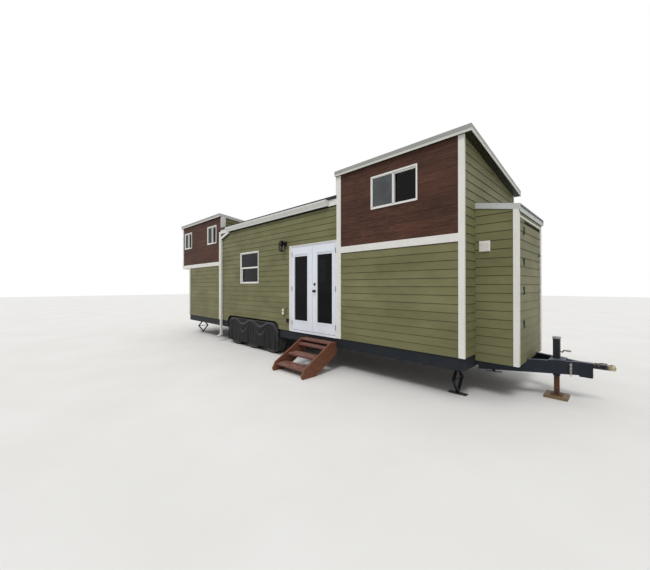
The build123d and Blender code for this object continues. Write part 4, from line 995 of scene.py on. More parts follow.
@dataclass(frozen=True)
class BoardLay:
    """How a kind of board is laid on a wall, and its finish."""

    finish: Finish
    slot: str
    exposure: float
    butt: float
    tip: float
    gap: float = 0.0
    length: float = 3.66
    stagger: float = 1.22
    joint: float = 0.002
    shortest: float = 0.02
    sliver: float = 0.001
    backing: float = 0.0
    # Height of the strip at the top of each board that is painted as the shadow of the next butt.
    reveal: float = 0.0


LAPPED = BoardLay(SIDING, "lap_siding", exposure=0.1285, butt=0.0105, tip=0.0015, reveal=0.0075)
FLUSH = BoardLay(STAIN, "stained_boards", exposure=0.140, butt=0.009, tip=0.009, gap=0.004, length=2.44,
                 stagger=0.61, backing=0.003)


@dataclass
class BoardPanel:
    """A flat wall face clad in level boards."""

    name: str
    side: Side
    face: float
    left: float
    width: float
    bottom: float
    top: float
    lay: BoardLay
    body: str = HOUSE
    cuts: list[Outline] = field(default_factory=list)
    roofline: Span | None = None

    def matrix(self) -> Matrix:
        """Place of the panel's own plane in the model.

        Returns:
            The matrix that brings the plane there.
        """
        along_x = self.side in (Side.NEAR, Side.FAR)
        corner = (self.left, self.face, 0.0) if along_x else (self.face, self.left, 0.0)
        return Matrix.Translation(corner) @ Matrix.Rotation(self.side.value, 4, "Z")

    def ends(self, low: Vector, high: Vector) -> Span:
        """Left and right end on the panel of a box on a long side.

        Args:
            low: Lowest corner of the box in the model.
            high: Highest corner.

        Returns:
            The ends along u.
        """
        sign = -1.0 if self.side is Side.FAR else 1.0
        u0, u1 = sorted((sign * (low.x - self.left), sign * (high.x - self.left)))
        return u0, u1

    def board(self, u0: float, u1: float, z0: float, z1: float) -> Mesh:
        """One board, thicker at its lower edge where it laps the one below.

        Args:
            u0: Left end.
            u1: Right end.
            z0: Lower edge.
            z1: Upper edge.

        Returns:
            The board as a closed mesh.
        """
        mesh = bmesh.new()
        verts = add_block(mesh, (u0, -self.lay.butt, z0), (u1, 0.0, z1))
        lean = [v for v in verts if v.co.z > (z0 + z1) / 2 and v.co.y < -self.lay.butt / 2]
        bmesh.ops.translate(mesh, verts=lean, vec=(0.0, self.lay.butt - self.lay.tip, 0.0))
        # Cut the face where the painted shadow strip at the top begins.
        if self.lay.reveal:
            bmesh.ops.bisect_plane(mesh, geom=everything_of(mesh), plane_co=(0.0, 0.0, z1 - self.lay.reveal),
                                   plane_no=(0.0, 0.0, 1.0))
        return mesh

    @staticmethod
    def halve(mesh: Mesh, point: Vector, normal: Vector) -> Mesh | None:
        """Keep what lies behind a plane and close the cut.

        Args:
            mesh: A closed convex mesh.
            point: Point on the plane.
            normal: Direction of the side that goes.

        Returns:
            The kept part, or None where nothing is left.
        """
        bmesh.ops.bisect_plane(mesh, geom=everything_of(mesh), dist=ON_PLANE, plane_co=point, plane_no=normal,
                               clear_outer=True)
        if not mesh.faces:
            mesh.free()
            return None
        open_edges = [edge for edge in mesh.edges if edge.is_boundary]
        if open_edges:
            bmesh.ops.holes_fill(mesh, edges=open_edges, sides=0)
        return mesh

    def cut(self, board: Mesh, outline: Outline) -> list[Mesh]:
        """Cut a convex outline out of a convex board.

        Args:
            board: The board, which is used up.
            outline: Convex outline in u and z, counter-clockwise as seen from outside.

        Returns:
            The closed parts that are left.
        """
        us = [vert.co.x for vert in board.verts]
        zs = [vert.co.z for vert in board.verts]
        cut_us, cut_zs = zip(*outline)
        beside = max(us) <= min(cut_us) or min(us) >= max(cut_us)
        if beside or max(zs) <= min(cut_zs) or min(zs) >= max(cut_zs):
            return [board]
        kept = []
        rest: Mesh | None = board
        for (u0, z0), (u1, z1) in zip(outline, outline[1:] + outline[:1]):
            point, normal = Vector((u0, 0.0, z0)), Vector((z1 - z0, 0.0, u0 - u1)).normalized()
            outside = self.halve(rest.copy(), point, -normal)
            if outside is not None:
                kept.append(outside)
            rest = self.halve(rest, point, normal)
            if rest is None:
                return kept
        rest.free()
        return kept

    def runs(self, course: int) -> list[Span]:
        """Ends of the boards of one course, with the joints staggered from course to course.

        Args:
            course: Number of the course from the bottom.

        Returns:
            Left and right end of each board.
        """
        lay = self.lay
        first = (course * lay.stagger) % lay.length - lay.length
        joints = []
        while first < self.width:
            joints.append(first)
            first += lay.length
        pairs = zip(joints, joints[1:] + [self.width + lay.length])
        ends = [(max(a, 0.0), min(b, self.width)) for a, b in pairs]
        gap = lay.joint / 2
        return [(a + (gap if a > 0 else 0), b - (gap if b < self.width else 0))
                for a, b in ends if b - a > lay.shortest]

    def build(self, shop: Workshop) -> None:
        """Lay the boards and dress them.

        Args:
            shop: Workshop that makes the piece.
        """
        lay = self.lay
        rng = random.Random(self.name)
        whole = bmesh.new()
        for layer in ("board", "lap"):
            whole.faces.layers.float.new(layer)
        courses = math.ceil((self.top - self.bottom) / lay.exposure - lay.sliver)
        for course in range(courses):
            z0 = self.bottom + course * lay.exposure
            z1 = min(z0 + lay.exposure - lay.gap, self.top)
            for u0, u1 in self.runs(course):
                self.trim_and_take(whole, self.board(u0, u1, z0, z1), rng.random(), z1 - lay.reveal)
        if lay.backing:
            back = bmesh.new()
            add_block(back, (0.0, -lay.backing, self.bottom), (self.width, 0.0, self.top))
            # The backing shows in the joints between boards and is painted as shadow all over.
            self.trim_and_take(whole, back, 1.0, self.bottom)
        bmesh.ops.transform(whole, matrix=self.matrix(), verts=whole.verts[:])
        shop.piece(self.name, whole, lay.slot, lay.finish, self.body)

    def trim_and_take(self, whole: Mesh, board: Mesh, tone: float, shadow: float) -> None:
        """Trim a board to the roofline and the openings, add it, and mark the faces that are painted as shadow.

        Args:
            whole: Mesh of the panel.
            board: The board, which is used up.
            tone: Its tone from 0 to 1.
            shadow: Height over which its faces are painted as the shadow of the next board.
        """
        parts = [board]
        if self.roofline is not None:
            low, high = self.roofline
            normal = Vector((low - high, 0.0, self.width)).normalized()
            kept = self.halve(board, Vector((0.0, 0.0, low)), normal)
            parts = [kept] if kept is not None else []
        for outline in self.cuts:
            parts = [piece for part in parts for piece in self.cut(part, outline)]
        tint, lap = whole.faces.layers.float["board"], whole.faces.layers.float["lap"]
        for part in parts:
            count = len(whole.faces)
            take_in(whole, part)
            whole.faces.ensure_lookup_table()
            for face in whole.faces[count:]:
                face[tint] = tone
                face[lap] = float(face.calc_center_median().z > shadow)


@dataclass
class Assembly:
    """Sub-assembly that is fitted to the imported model."""

    shop: Workshop

    def build(self) -> None:
        """Make its pieces."""
        raise NotImplementedError


@dataclass
class Cladding(Assembly):
    """All the boards on the outside of the house, fitted around its windows, door and wheel wells."""

    well_corner: float = 0.2
    arc_steps: int = 6
    under_roof: float = 0.03

    def build(self) -> None:
        """Lay every panel."""
        for panel in self.side_panels():
            self.open_up(panel)
            panel.build(self.shop)
        for panel in self.end_panels():
            panel.build(self.shop)

    def open_up(self, panel: BoardPanel) -> None:
        """Cut the windows, the door and the wheel well out of a panel of a long side.

        Args:
            panel: The panel.
        """
        near = panel.side is Side.NEAR
        frames = self.on_side("window_frames", near) + ([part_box("door_frame")] if near else [])
        panel.cuts = [rectangle(*panel.ends(low, high), low.z, high.z) for low, high in frames]
        panel.cuts += [self.arch(panel, low, high) for low, high in self.on_side("wheel_wells", near)]

    def on_side(self, node: str, near: bool) -> list[tuple[Vector, Vector]]:
        """Boxes of the loose parts of a node that are on the near or the far side."""
        return [box for box in self.shop.islands(node) if (box[0].y < self.shop.plan.middle) == near]

    def arch(self, panel: BoardPanel, low: Vector, high: Vector) -> Outline:
        """Outline of a wheel well on a panel, with its rounded upper corners.

        Args:
            panel: The panel.
            low: Lowest corner of the well.
            high: Highest corner.

        Returns:
            The outline, counter-clockwise as seen from outside.
        """
        u0, u1 = panel.ends(low, high)
        radius = self.well_corner
        outline = [(u0, low.z), (u1, low.z)]
        for centre, start in ((u1 - radius, 0.0), (u0 + radius, math.pi / 2)):
            for step in range(self.arc_steps + 1):
                angle = start + math.pi / 2 * step / self.arc_steps
                outline.append((centre + radius * math.cos(angle),
                                high.z - radius + radius * math.sin(angle)))
        return outline

    def side_panels(self) -> list[BoardPanel]:
        """Panels of the two long sides.

        Returns:
            The panels, without their openings.
        """
        plan = self.shop.plan
        band_low, band_high = (corner.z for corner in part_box("band_boards"))
        found = []
        for side, face, eave in ((Side.NEAR, plan.near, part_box("gutter")[0].z),
                                 (Side.FAR, plan.far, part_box("mid_side_walls")[1].z)):
            top = self.shop.edge_top("tower_upper_walls", face)
            for part, x0, x1, z0, z1, lay in (
                    ("front_lower", plan.seam_front, plan.front, plan.base, band_low, LAPPED),
                    ("rear_lower", plan.rear, plan.seam_rear, plan.base, band_low, LAPPED),
                    ("front_upper", plan.seam_front, plan.front, band_high, top, FLUSH),
                    ("rear_upper", plan.tail, plan.seam_rear, band_high, top, FLUSH),
                    ("middle", plan.seam_rear, plan.seam_front, plan.base, eave, LAPPED)):
                name = f"{side.name.lower()}_{part}_boards"
                left = x0 if side is Side.NEAR else x1
                found.append(BoardPanel(name, side, face, left, x1 - x0, z0, z1, lay))
        return found

    def end_panels(self) -> list[BoardPanel]:
        """Panels across the house.

        Returns:
            The panels.
        """
        plan, edge_top = self.shop.plan, self.shop.edge_top
        near_top, far_top = (edge_top("tower_upper_walls", y) for y in (plan.near, plan.far))
        band_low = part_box("band_boards")[0].z
        roof = edge_top("mid_roof", plan.near) - self.under_roof
        found = []
        for part, side, face, z0, z1 in (("front_end", Side.FRONT, plan.front, plan.base, near_top),
                                         ("rear_end_lower", Side.REAR, plan.rear, plan.base, band_low),
                                         ("rear_end_upper", Side.REAR, plan.tail, band_low, near_top),
                                         ("front_tower_inner", Side.REAR, plan.seam_front, roof, near_top),
                                         ("rear_tower_inner", Side.FRONT, plan.seam_rear, roof, near_top)):
            left, slope = plan.near, (near_top, far_top)
            if side is Side.REAR:
                left, slope = plan.far, (far_top, near_top)
            found.append(BoardPanel(f"{part}_boards", side, face, left, plan.far - plan.near, z0, z1, LAPPED,
                                    roofline=slope if z1 == near_top else None))
        return found


@dataclass
class ClosetCladding(Assembly):
    """Lap boards on the storage closet and its door, a frieze over the door and the leaves of the hinges."""

    scribe: float = 0.001
    beam_clear: float = 0.003
    beam_depth: float = 0.08
    past: float = 0.01
    beam_cut: float = 0.05
    leaf_w: float = 0.044
    leaf_h: float = 0.115
    leaf_t: float = 0.0085
    leaf_from: float = 0.007
    screw_rows: Sequence[float] = (-0.36, 0.0, 0.36)
    screw_out: float = 0.55
    screw_r: float = 0.004
    screw_h: float = 0.0015
    door_head: float = 0.04
    frieze_gap: float = 0.05
    frieze_in: float = 0.055
    frieze_t: float = 0.018
    lip_h: float = 0.02
    lip_out: float = 0.004
    arris: float = 0.0015

    def build(self) -> None:
        """Dress the closet."""
        walls, front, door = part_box("closet_side_walls"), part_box("closet_front_wall"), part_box("closet_door")
        near, far, face = walls[0].y, walls[1].y, walls[1].x
        back = self.shop.plan.front
        base, top_back, top_front = walls[0].z, walls[1].z, front[1].z
        beam_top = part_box("tongue_beams")[1].z + self.beam_clear
        spots = [(low.y, high.y, low.z, high.z) for node in ("closet_hinges", "closet_latch")
                 for low, high in self.shop.islands(node)]
        for y, z in self.hinge_centres():
            spots.append((y - self.leaf_w, y + self.leaf_w, z - self.leaf_h / 2, z + self.leaf_h / 2))
        front_cuts = [self.window(near, self.scribe, *spot) for spot in spots]
        front_cuts.append(rectangle(door[0].y - near, door[1].y - near, door[0].z,
                                    door[1].z + self.door_head))
        for y0, y1 in self.shop.pair_spans("tongue_beams", face, base - self.beam_cut):
            front_cuts.append(self.window(near, self.beam_clear, y0, y1, base - self.past, beam_top))
        depth = face - back
        far_cuts = [rectangle(depth - self.beam_depth, depth + self.past, base - self.past, beam_top)]
        start = base + math.floor((door[0].z - base) / LAPPED.exposure) * LAPPED.exposure
        door_w = door[1].y - door[0].y
        door_cuts = [self.window(door[0].y, self.scribe, *spot) for spot in spots]
        door_cuts.append(rectangle(-self.past, door_w + self.past, start - self.past, door[0].z))
        for panel in (
                BoardPanel("closet_near_boards", Side.NEAR, near, back, depth, base, top_back, LAPPED,
                           roofline=(top_back, top_front)),
                BoardPanel("closet_far_boards", Side.FAR, far, face, depth, base, top_back, LAPPED,
                           cuts=far_cuts, roofline=(top_front, top_back)),
                BoardPanel("closet_front_boards", Side.FRONT, face, near, far - near, base, top_front, LAPPED,
                           cuts=front_cuts),
                BoardPanel("closet_door_boards", Side.FRONT, face, door[0].y, door_w, start, door[1].z,
                           LAPPED, body="closet_door_body", cuts=door_cuts)):
            panel.build(self.shop)
        self.frieze(near + self.frieze_in, far - self.frieze_in, face)
        self.leaves(face)

    def hinge_centres(self) -> list[tuple[float, float]]:
        """Place across the house and height of each hinge on the closet door."""
        boxes = self.shop.islands("closet_door_hinges")
        return [((low.y + high.y) / 2, (low.z + high.z) / 2) for low, high in boxes]

    @staticmethod
    def window(left: float, extra: float, y0: float, y1: float, z0: float, z1: float) -> Outline:
        """Cut for something on the front face, wider than it by a margin on each side.

        Args:
            left: Left end of the panel across the house.
            extra: The margin.
            y0: Left end of the thing across the house.
            y1: Right end.
            z0: Its lowest point.
            z1: Its highest point.

        Returns:
            The outline on the panel.
        """
        return rectangle(y0 - left - extra, y1 - left + extra, z0 - extra, z1 + extra)

    def frieze(self, y0: float, y1: float, face: float) -> None:
        """Set the painted board between the door opening and the fascia, with a lip along its foot.

        Args:
            y0: Left end across the house.
            y1: Right end.
            face: Front face of the closet.
        """
        strip = max(self.shop.islands("closet_fascia"), key=lambda box: box[1].y - box[0].y)
        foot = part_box("closet_door")[1].z + self.frieze_gap
        lip_top = foot + self.lip_h
        for name, out, z0, z1, slot, finish in (
                ("closet_frieze", self.frieze_t, lip_top, strip[0].z, "lap_siding", SIDING),
                ("closet_frieze_lip", self.frieze_t + self.lip_out, foot, lip_top, "trim_white", TRIM)):
            mesh = bmesh.new()
            add_block(mesh, (face, y0, z0), (face + out, y1, z1))
            soften(mesh, self.arris)
            self.shop.piece(name, mesh, slot, finish)

    def leaves(self, face: float) -> None:
        """Set the hinge leaves between the boards, each with its screws.

        Args:
            face: Front face of the closet.
        """
        front = face + self.leaf_t
        for side, body, name in ((-1.0, HOUSE, "closet_wall_leaves"),
                                 (1.0, "closet_door_body", "closet_door_leaves")):
            mesh = bmesh.new()
            for y, z in self.hinge_centres():
                y0, y1 = sorted((y + side * self.leaf_from, y + side * self.leaf_w))
                add_block(mesh, (face, y0, z - self.leaf_h / 2), (front, y1, z + self.leaf_h / 2))
                for row in self.screw_rows:
                    out = self.leaf_w * (self.screw_out + abs(row) / 2)
                    add_rod(mesh, (front, y + side * out, z + row * self.leaf_h), (self.screw_h, 0, 0),
                            self.screw_r, sides=8)
            self.shop.piece(name, mesh, "hinge_black", body=body)


@dataclass
class RoofMetal(Assembly):
    """Standing seams on every roof, and the folded metal along the edges of the tower roofs."""

    pitch: float = 0.406
    rib: float = 0.022
    rib_width: float = 0.014
    setback: float = 0.2
    far_setback: float = 0.02
    sheet: float = 0.001
    cover: float = 0.06
    rake_share: float = 0.7
    hem: float = 0.003
    hem_sheets: float = 2.5
    board_t: float = 0.019
    edge_rise: float = 0.036
    edge_drop: float = 0.02
    edge_from: float = 0.004
    edge_to: float = 0.02
    edge_ends: Span = (0.03, 0.002)

    def build(self) -> None:
        """Set the seams and the edge metal."""
        self.tower_roofs()
        self.low_roof()

    def tower_roofs(self) -> None:
        """Set the seams of the tower roofs, and metal along their eaves and rakes."""
        low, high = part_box("tower_roofs")
        edge_top = self.shop.edge_top
        fall = (edge_top("tower_roofs", low.y) - edge_top("tower_roofs", high.y)) / (high.y - low.y)
        seams = bmesh.new()
        for low, high in self.shop.islands("tower_roofs"):
            self.seams(seams, low, high, fall, high.z)
        self.shop.piece("tower_roof_seams", seams, "roof_metal")
        low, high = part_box("roof_fascias")
        inner_rear = self.shop.plan.seam_rear + self.board_t
        inner_front = self.shop.plan.seam_front - self.board_t
        edges = bmesh.new()
        for x0, x1, end, face in ((low.x, inner_rear, low.x, -1.0), (inner_front, high.x, high.x, 1.0)):
            self.eave(edges, x0, x1, low.y, -1.0, high.z)
            self.eave(edges, x0, x1, high.y, 1.0, high.z - fall * (high.y - low.y))
            self.rake(edges, end, face, low, high, fall)
        self.shop.piece("roof_edge_metal", edges, "fascia_paint", FLASHING)

    def low_roof(self) -> None:
        """Set the seams of the low roof and the dark edge over its gutter."""
        low, high = max(self.shop.islands("mid_roof"), key=lambda box: box[1].y - box[0].y)
        top = self.shop.edge_top("mid_roof", low.y)
        rise = (self.shop.edge_top("mid_roof", high.y) - top) / (high.y - low.y)
        mesh = bmesh.new()
        self.seams(mesh, low, high, -rise, top)
        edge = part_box("mid_roof")[0].y
        add_block(mesh, (low.x + self.edge_ends[0], edge + self.edge_from, top - self.edge_drop),
                  (high.x - self.edge_ends[1], edge + self.edge_to, top + self.edge_rise))
        self.shop.piece("low_roof_seams", mesh, "low_roof_metal")

    def seams(self, mesh: Mesh, low: Vector, high: Vector, fall: float, top: float) -> None:
        """Add the ribs of one roof.

        Args:
            mesh: Mesh that takes the ribs.
            low: Lowest corner of the roof.
            high: Highest corner.
            fall: Fall per metre toward the far side.
            top: Height of the roof at its near edge.
        """
        count = max(2, round((high.x - low.x) / self.pitch))
        y0, y1 = low.y + self.setback, high.y - self.far_setback
        for index in range(1, count):
            x = low.x + (high.x - low.x) * index / count
            verts = add_block(mesh, (x - self.rib_width / 2, y0, 0.0), (x + self.rib_width / 2, y1, self.rib))
            self.slope(verts, low.y, top, fall)

    @staticmethod
    def slope(verts: Sequence[bmesh.types.BMVert], start: float, top: float, fall: float) -> None:
        """Lift vertices onto a sloping line.

        Args:
            verts: Vertices that are drawn from level zero.
            start: Near end of the line.
            top: Its height there.
            fall: Fall per metre toward the far side.
        """
        for vert in verts:
            vert.co.z += top - fall * (vert.co.y - start)

    def folds(self, cover: float) -> tuple[tuple[float, float, float], ...]:
        """Thickness, foot and head of the sheet and of the hem under it, down from the edge."""
        return (self.sheet, -cover, 0.0), (self.hem_sheets * self.sheet, -cover - self.hem, -cover)

    def eave(self, mesh: Mesh, x0: float, x1: float, y: float, face: float, top: float) -> None:
        """Add the folded metal over the upper part of one eave board.

        Args:
            mesh: Mesh that takes the metal.
            x0: Rear end.
            x1: Front end.
            y: Outer face of the board.
            face: -1 where the board faces the near side, 1 where it faces the far side.
            top: Height of the board's top.
        """
        for depth, foot, head in self.folds(self.cover):
            y0, y1 = sorted((y, y + face * depth))
            add_block(mesh, (x0, y0, top + foot), (x1, y1, top + head))

    def rake(self, mesh: Mesh, x: float, face: float, low: Vector, high: Vector, fall: float) -> None:
        """Add the folded metal along one sloping end.

        Args:
            mesh: Mesh that takes the metal.
            x: Outer face of the board.
            face: -1 where the board faces the rear, 1 where it faces the front.
            low: Lowest corner of the roof edge.
            high: Highest corner.
            fall: Fall per metre toward the far side.
        """
        for depth, foot, head in self.folds(self.rake_share * self.cover):
            x0, x1 = sorted((x, x + face * depth))
            self.slope(add_block(mesh, (x0, low.y, foot), (x1, high.y, head)), low.y, high.z, fall)


@dataclass
class GutterTrim(Assembly):
    """Boards that carry the line of the gutter to the towers, a black strip of painted shadow under the gutter,
    hangers in the trough and downspout straps.
    """

    board_t: float = 0.019
    arris: float = 0.0015
    gap_h: float = 0.024
    gap_t: float = 0.003
    shade_strip_in: float = 0.002
    shade_strip_up: float = 0.004
    hanger_pitch: float = 0.6
    hanger_w: float = 0.024
    hanger_in: float = 0.004
    hanger_z: Span = (0.006, 0.003)
    spout_w: float = 0.076
    spout_back: float = 0.05
    strap_levels: Sequence[float] = (0.75, 1.75, 2.75)
    strap_h: float = 0.026
    strap_t: float = 0.0016
    wing: float = 0.024
    screw_r: float = 0.0045
    screw_h: float = 0.002

    def build(self) -> None:
        """Fit the trim."""
        low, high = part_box("gutter")
        seam_rear, seam_front = self.shop.plan.seam_rear, self.shop.plan.seam_front
        boards = bmesh.new()
        for x0, x1 in ((seam_rear, low.x), (high.x, seam_front)):
            add_block(boards, (x0, high.y - self.board_t, low.z), (x1, high.y, high.z))
        soften(boards, self.arris)
        self.shop.piece("eave_end_boards", boards, "trim_white")
        wall = self.shop.plan.near - LAPPED.butt
        # A thin black strip on the wall under the gutter is painted shadow: it stands for the shade that the
        # gutter casts.
        strip = bmesh.new()
        add_block(strip, (seam_rear + self.shade_strip_in, wall - self.gap_t, low.z - self.gap_h),
                  (seam_front - self.shade_strip_in, wall, low.z + self.shade_strip_up))
        self.shop.piece("eave_gap_strip", strip, "inlet_plastic", SEAL)
        hangers = bmesh.new()
        count = round((high.x - low.x) / self.hanger_pitch)
        for index in range(1, count):
            x = low.x + (high.x - low.x) * index / count
            add_block(hangers, (x - self.hanger_w / 2, low.y + self.hanger_in, high.z - self.hanger_z[0]),
                      (x + self.hanger_w / 2, high.y - self.hanger_in, high.z - self.hanger_z[1]))
        self.shop.piece("gutter_hangers", hangers, "gutter_aluminium")
        self.straps(wall)

    def straps(self, wall: float) -> None:
        """Fold a strap round the downspout at each fixing, with wings and screws on the wall.

        Args:
            wall: Face of the boards that the wings lie on.
        """
        low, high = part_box("downspout")
        x0, x1 = low.x, low.x + self.spout_w
        y0 = high.y - self.spout_back
        thick = self.strap_t
        mesh, screws = bmesh.new(), bmesh.new()
        for z in self.strap_levels:
            z1 = z + self.strap_h
            add_block(mesh, (x0 - thick, y0 - thick, z), (x1 + thick, y0, z1))
            for outer, inner, wing in ((x0 - thick, x0, -self.wing), (x1 + thick, x1, self.wing)):
                a, b = sorted((outer, inner))
                add_block(mesh, (a, y0, z), (b, wall, z1))
                a, b = sorted((outer, outer + wing))
                add_block(mesh, (a, wall - thick, z), (b, wall, z1))
                add_rod(screws, ((a + b) / 2, wall - thick, (z + z1) / 2), (0, -self.screw_h, 0),
                        self.screw_r, sides=6)
        self.shop.piece("downspout_straps", mesh, "gutter_aluminium")
        self.shop.piece("strap_screws", screws, "hinge_steel", SCREW)


@dataclass
class GlassFittings(Assembly):
    """Seals round every pane, insect screens on the front sliders and blind rails over the door lights."""

    seal_w: float = 0.005
    seal_t: float = 0.003
    rail_h: float = 0.045
    rail_t: float = 0.01
    rail_arris: float = 0.003
    screen_in: float = 0.008
    screen_from: float = 0.026
    screen_edge: float = 0.012
    weave_t: float = 0.0016
    rim_t: float = 0.006

    def build(self) -> None:
        """Fit the glass."""
        seals = bmesh.new()
        for low, high in self.shop.islands("window_glass"):
            near = low.y < self.shop.plan.middle
            self.seal(seals, low, high, -1.0 if near else 1.0)
        self.shop.piece("window_seals", seals, "inlet_plastic", SEAL)
        for side in ("left", "right"):
            low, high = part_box(f"{side}_door_glass")
            mesh = bmesh.new()
            self.seal(mesh, low, high, -1.0)
            self.shop.piece(f"{side}_door_seal", mesh, "inlet_plastic", SEAL, body=f"{side}_door")
            mesh = bmesh.new()
            add_block(mesh, (low.x, low.y - self.rail_t, high.z - self.rail_h), (high.x, low.y, high.z))
            soften(mesh, self.rail_arris)
            self.shop.piece(f"{side}_blind_rail", mesh, "door_paint", body=f"{side}_door")
        self.screens()

    def seal(self, mesh: Mesh, low: Vector, high: Vector, face: float) -> None:
        """Add the seal round one pane.

        Args:
            mesh: Mesh that takes the seal.
            low: Lowest corner of the pane.
            high: Highest corner.
            face: -1 where the pane faces the near side, 1 where it faces the far side.
        """
        y = low.y if face < 0 else high.y
        y0, y1 = sorted((y, y + face * self.seal_t))
        z0, z1, width = low.z + self.seal_w, high.z - self.seal_w, self.seal_w
        add_block(mesh, (low.x, y0, low.z), (high.x, y1, z0))
        add_block(mesh, (low.x, y0, z1), (high.x, y1, high.z))
        add_block(mesh, (low.x, y0, z0), (low.x + width, y1, z1))
        add_block(mesh, (high.x - width, y0, z0), (high.x, y1, z1))

    def screens(self) -> None:
        """Set an insect screen in the outer track of each window of the front tower."""
        weave, rim = bmesh.new(), bmesh.new()
        for low, high in self.shop.islands("window_frames"):
            if low.x < self.shop.plan.seam_front:
                continue
            near = low.y < self.shop.plan.middle
            half = (low.x + high.x) / 2
            x0, x1 = (low.x + self.screen_from, half) if near else (half, high.x - self.screen_from)
            y = low.y + self.screen_in if near else high.y - self.screen_in
            z0, z1 = low.z + self.screen_from, high.z - self.screen_from
            add_block(weave, (x0, y - self.weave_t / 2, z0), (x1, y + self.weave_t / 2, z1))
            edge, y0, y1 = self.screen_edge, y - self.rim_t / 2, y + self.rim_t / 2
            for a0, a1, b0, b1 in ((x0, x1, z0, z0 + edge), (x0, x1, z1 - edge, z1),
                                   (x0, x0 + edge, z0, z1), (x1 - edge, x1, z0, z1)):
                add_block(rim, (a0, y0, b0), (a1, y1, b1))
        self.shop.piece("slider_screens", weave, "inlet_plastic", SCREEN)
        self.shop.piece("slider_screen_rims", rim, "window_vinyl")


@dataclass
class VentLouvres(Assembly):
    """Louvres on the vent cover."""

    slats: int = 6
    rim: float = 0.014
    out: float = 0.006
    lean: float = 0.0045
    slat_share: float = 0.72

    def build(self) -> None:
        """Set the louvres inside the cover's rim, each leaning in toward its upper edge."""
        low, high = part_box("vent_cover")
        mesh = bmesh.new()
        pitch = (high.z - low.z - 2 * self.rim) / self.slats
        for index in range(self.slats):
            z = low.z + self.rim + index * pitch
            verts = add_block(mesh, (low.x + self.rim, low.y - self.out, z),
                              (high.x - self.rim, low.y, z + self.slat_share * pitch))
            for vert in verts:
                if vert.co.z > z + self.slat_share * pitch / 2 and vert.co.y < low.y - self.out / 2:
                    vert.co.y += self.lean
        self.shop.piece("vent_louvres", mesh, "box_plastic")


@dataclass
class BoxLids(Assembly):
    """Two oval lids on the outlet box, and the round flap and its pin on the inlet."""

    lid_level: float = 0.47
    lid_gap: float = 0.036
    lid_r: Span = (0.028, 0.024)
    lid_h: float = 0.008
    lid_oval: float = 1.1
    button_r: float = 0.014
    button_h: float = 0.003
    flap_r: Span = (0.031, 0.028)
    pin_half: float = 0.02
    pin_out: float = 0.006
    pin_up: float = 0.033
    pin_r: float = 0.004

    def build(self) -> None:
        """Set the lids and the flap."""
        self.outlet_lids()
        self.inlet_flap()

    def outlet_lids(self) -> None:
        """Set two oval lids, each with a button, on the outlet box."""
        low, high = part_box("outlet_box")
        x, level = (low.x + high.x) / 2, low.z + self.lid_level * (high.z - low.z)
        mesh = bmesh.new()
        for z in (level - self.lid_gap, level + self.lid_gap):
            verts = add_rod(mesh, (x, low.y, z), (0, -self.lid_h, 0), self.lid_r[0], sides=28,
                            end_radius=self.lid_r[1])
            for vert in verts:
                vert.co.z = z + (vert.co.z - z) * self.lid_oval
            add_rod(mesh, (x, low.y - self.lid_h, z), (0, -self.button_h, 0), self.button_r, sides=20)
        self.shop.piece("outlet_lid", mesh, "box_plastic")

    def inlet_flap(self) -> None:
        """Set the round flap on the inlet, under its pin."""
        low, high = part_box("inlet_box")
        x, z = (low.x + high.x) / 2, (low.z + high.z) / 2
        mesh = bmesh.new()
        add_rod(mesh, (x, low.y, z), (0, -self.lid_h, 0), self.flap_r[0], sides=28, end_radius=self.flap_r[1])
        add_rod(mesh, (x - self.pin_half, low.y - self.pin_out, z + self.pin_up), (2 * self.pin_half, 0, 0),
                self.pin_r, sides=10)
        self.shop.piece("inlet_flap", mesh, "inlet_plastic")


@dataclass
class LanternFittings(Assembly):
    """Lamp and socket in the porch lantern, and the scroll under its arm."""

    lamp_r: float = 0.021
    lamp_long: float = 1.5
    socket_r: float = 0.013
    socket_from: float = 0.024
    plate_t: float = 0.019
    scroll_r: float = 0.0045
    scroll_from: float = 0.045
    scroll_centre: float = 0.01
    scroll_off: float = 0.002
    scroll_turn: float = 0.85

    def build(self) -> None:
        """Hang the lamp on its socket and set the scroll."""
        low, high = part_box("porch_light_glass")
        centre = (low + high) / 2
        mesh = bmesh.new()
        bmesh.ops.create_uvsphere(mesh, u_segments=20, v_segments=12, radius=self.lamp_r,
                                  matrix=Matrix.Translation(centre) @
                                  Matrix.Diagonal((1.0, 1.0, self.lamp_long, 1.0)))
        self.shop.piece("lantern_lamp", mesh, "lantern_glass", BULB, smooth=1.0)
        mesh = bmesh.new()
        add_rod(mesh, (centre.x, centre.y, centre.z + self.socket_from),
                (0, 0, high.z - centre.z - self.socket_from), self.socket_r, sides=16)
        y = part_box("porch_light")[1].y - self.plate_t - self.scroll_off
        ring = bmesh.ops.create_circle(mesh, cap_ends=True, segments=10, radius=self.scroll_r,
                                       matrix=Matrix.Translation((centre.x, y, high.z - self.scroll_from)) @
                                       Matrix.Rotation(math.pi / 2, 4, "X"))
        faces = list({face for vert in ring["verts"] for face in vert.link_faces})
        bmesh.ops.spin(mesh, geom=faces, cent=(centre.x, y, high.z - self.scroll_centre), axis=(1, 0, 0),
                       dvec=(0, 0, 0), angle=-self.scroll_turn * math.pi, steps=16, use_merge=False,
                       use_duplicate=False)
        self.shop.piece("lantern_scroll", mesh, "lantern_metal", smooth=0.7)


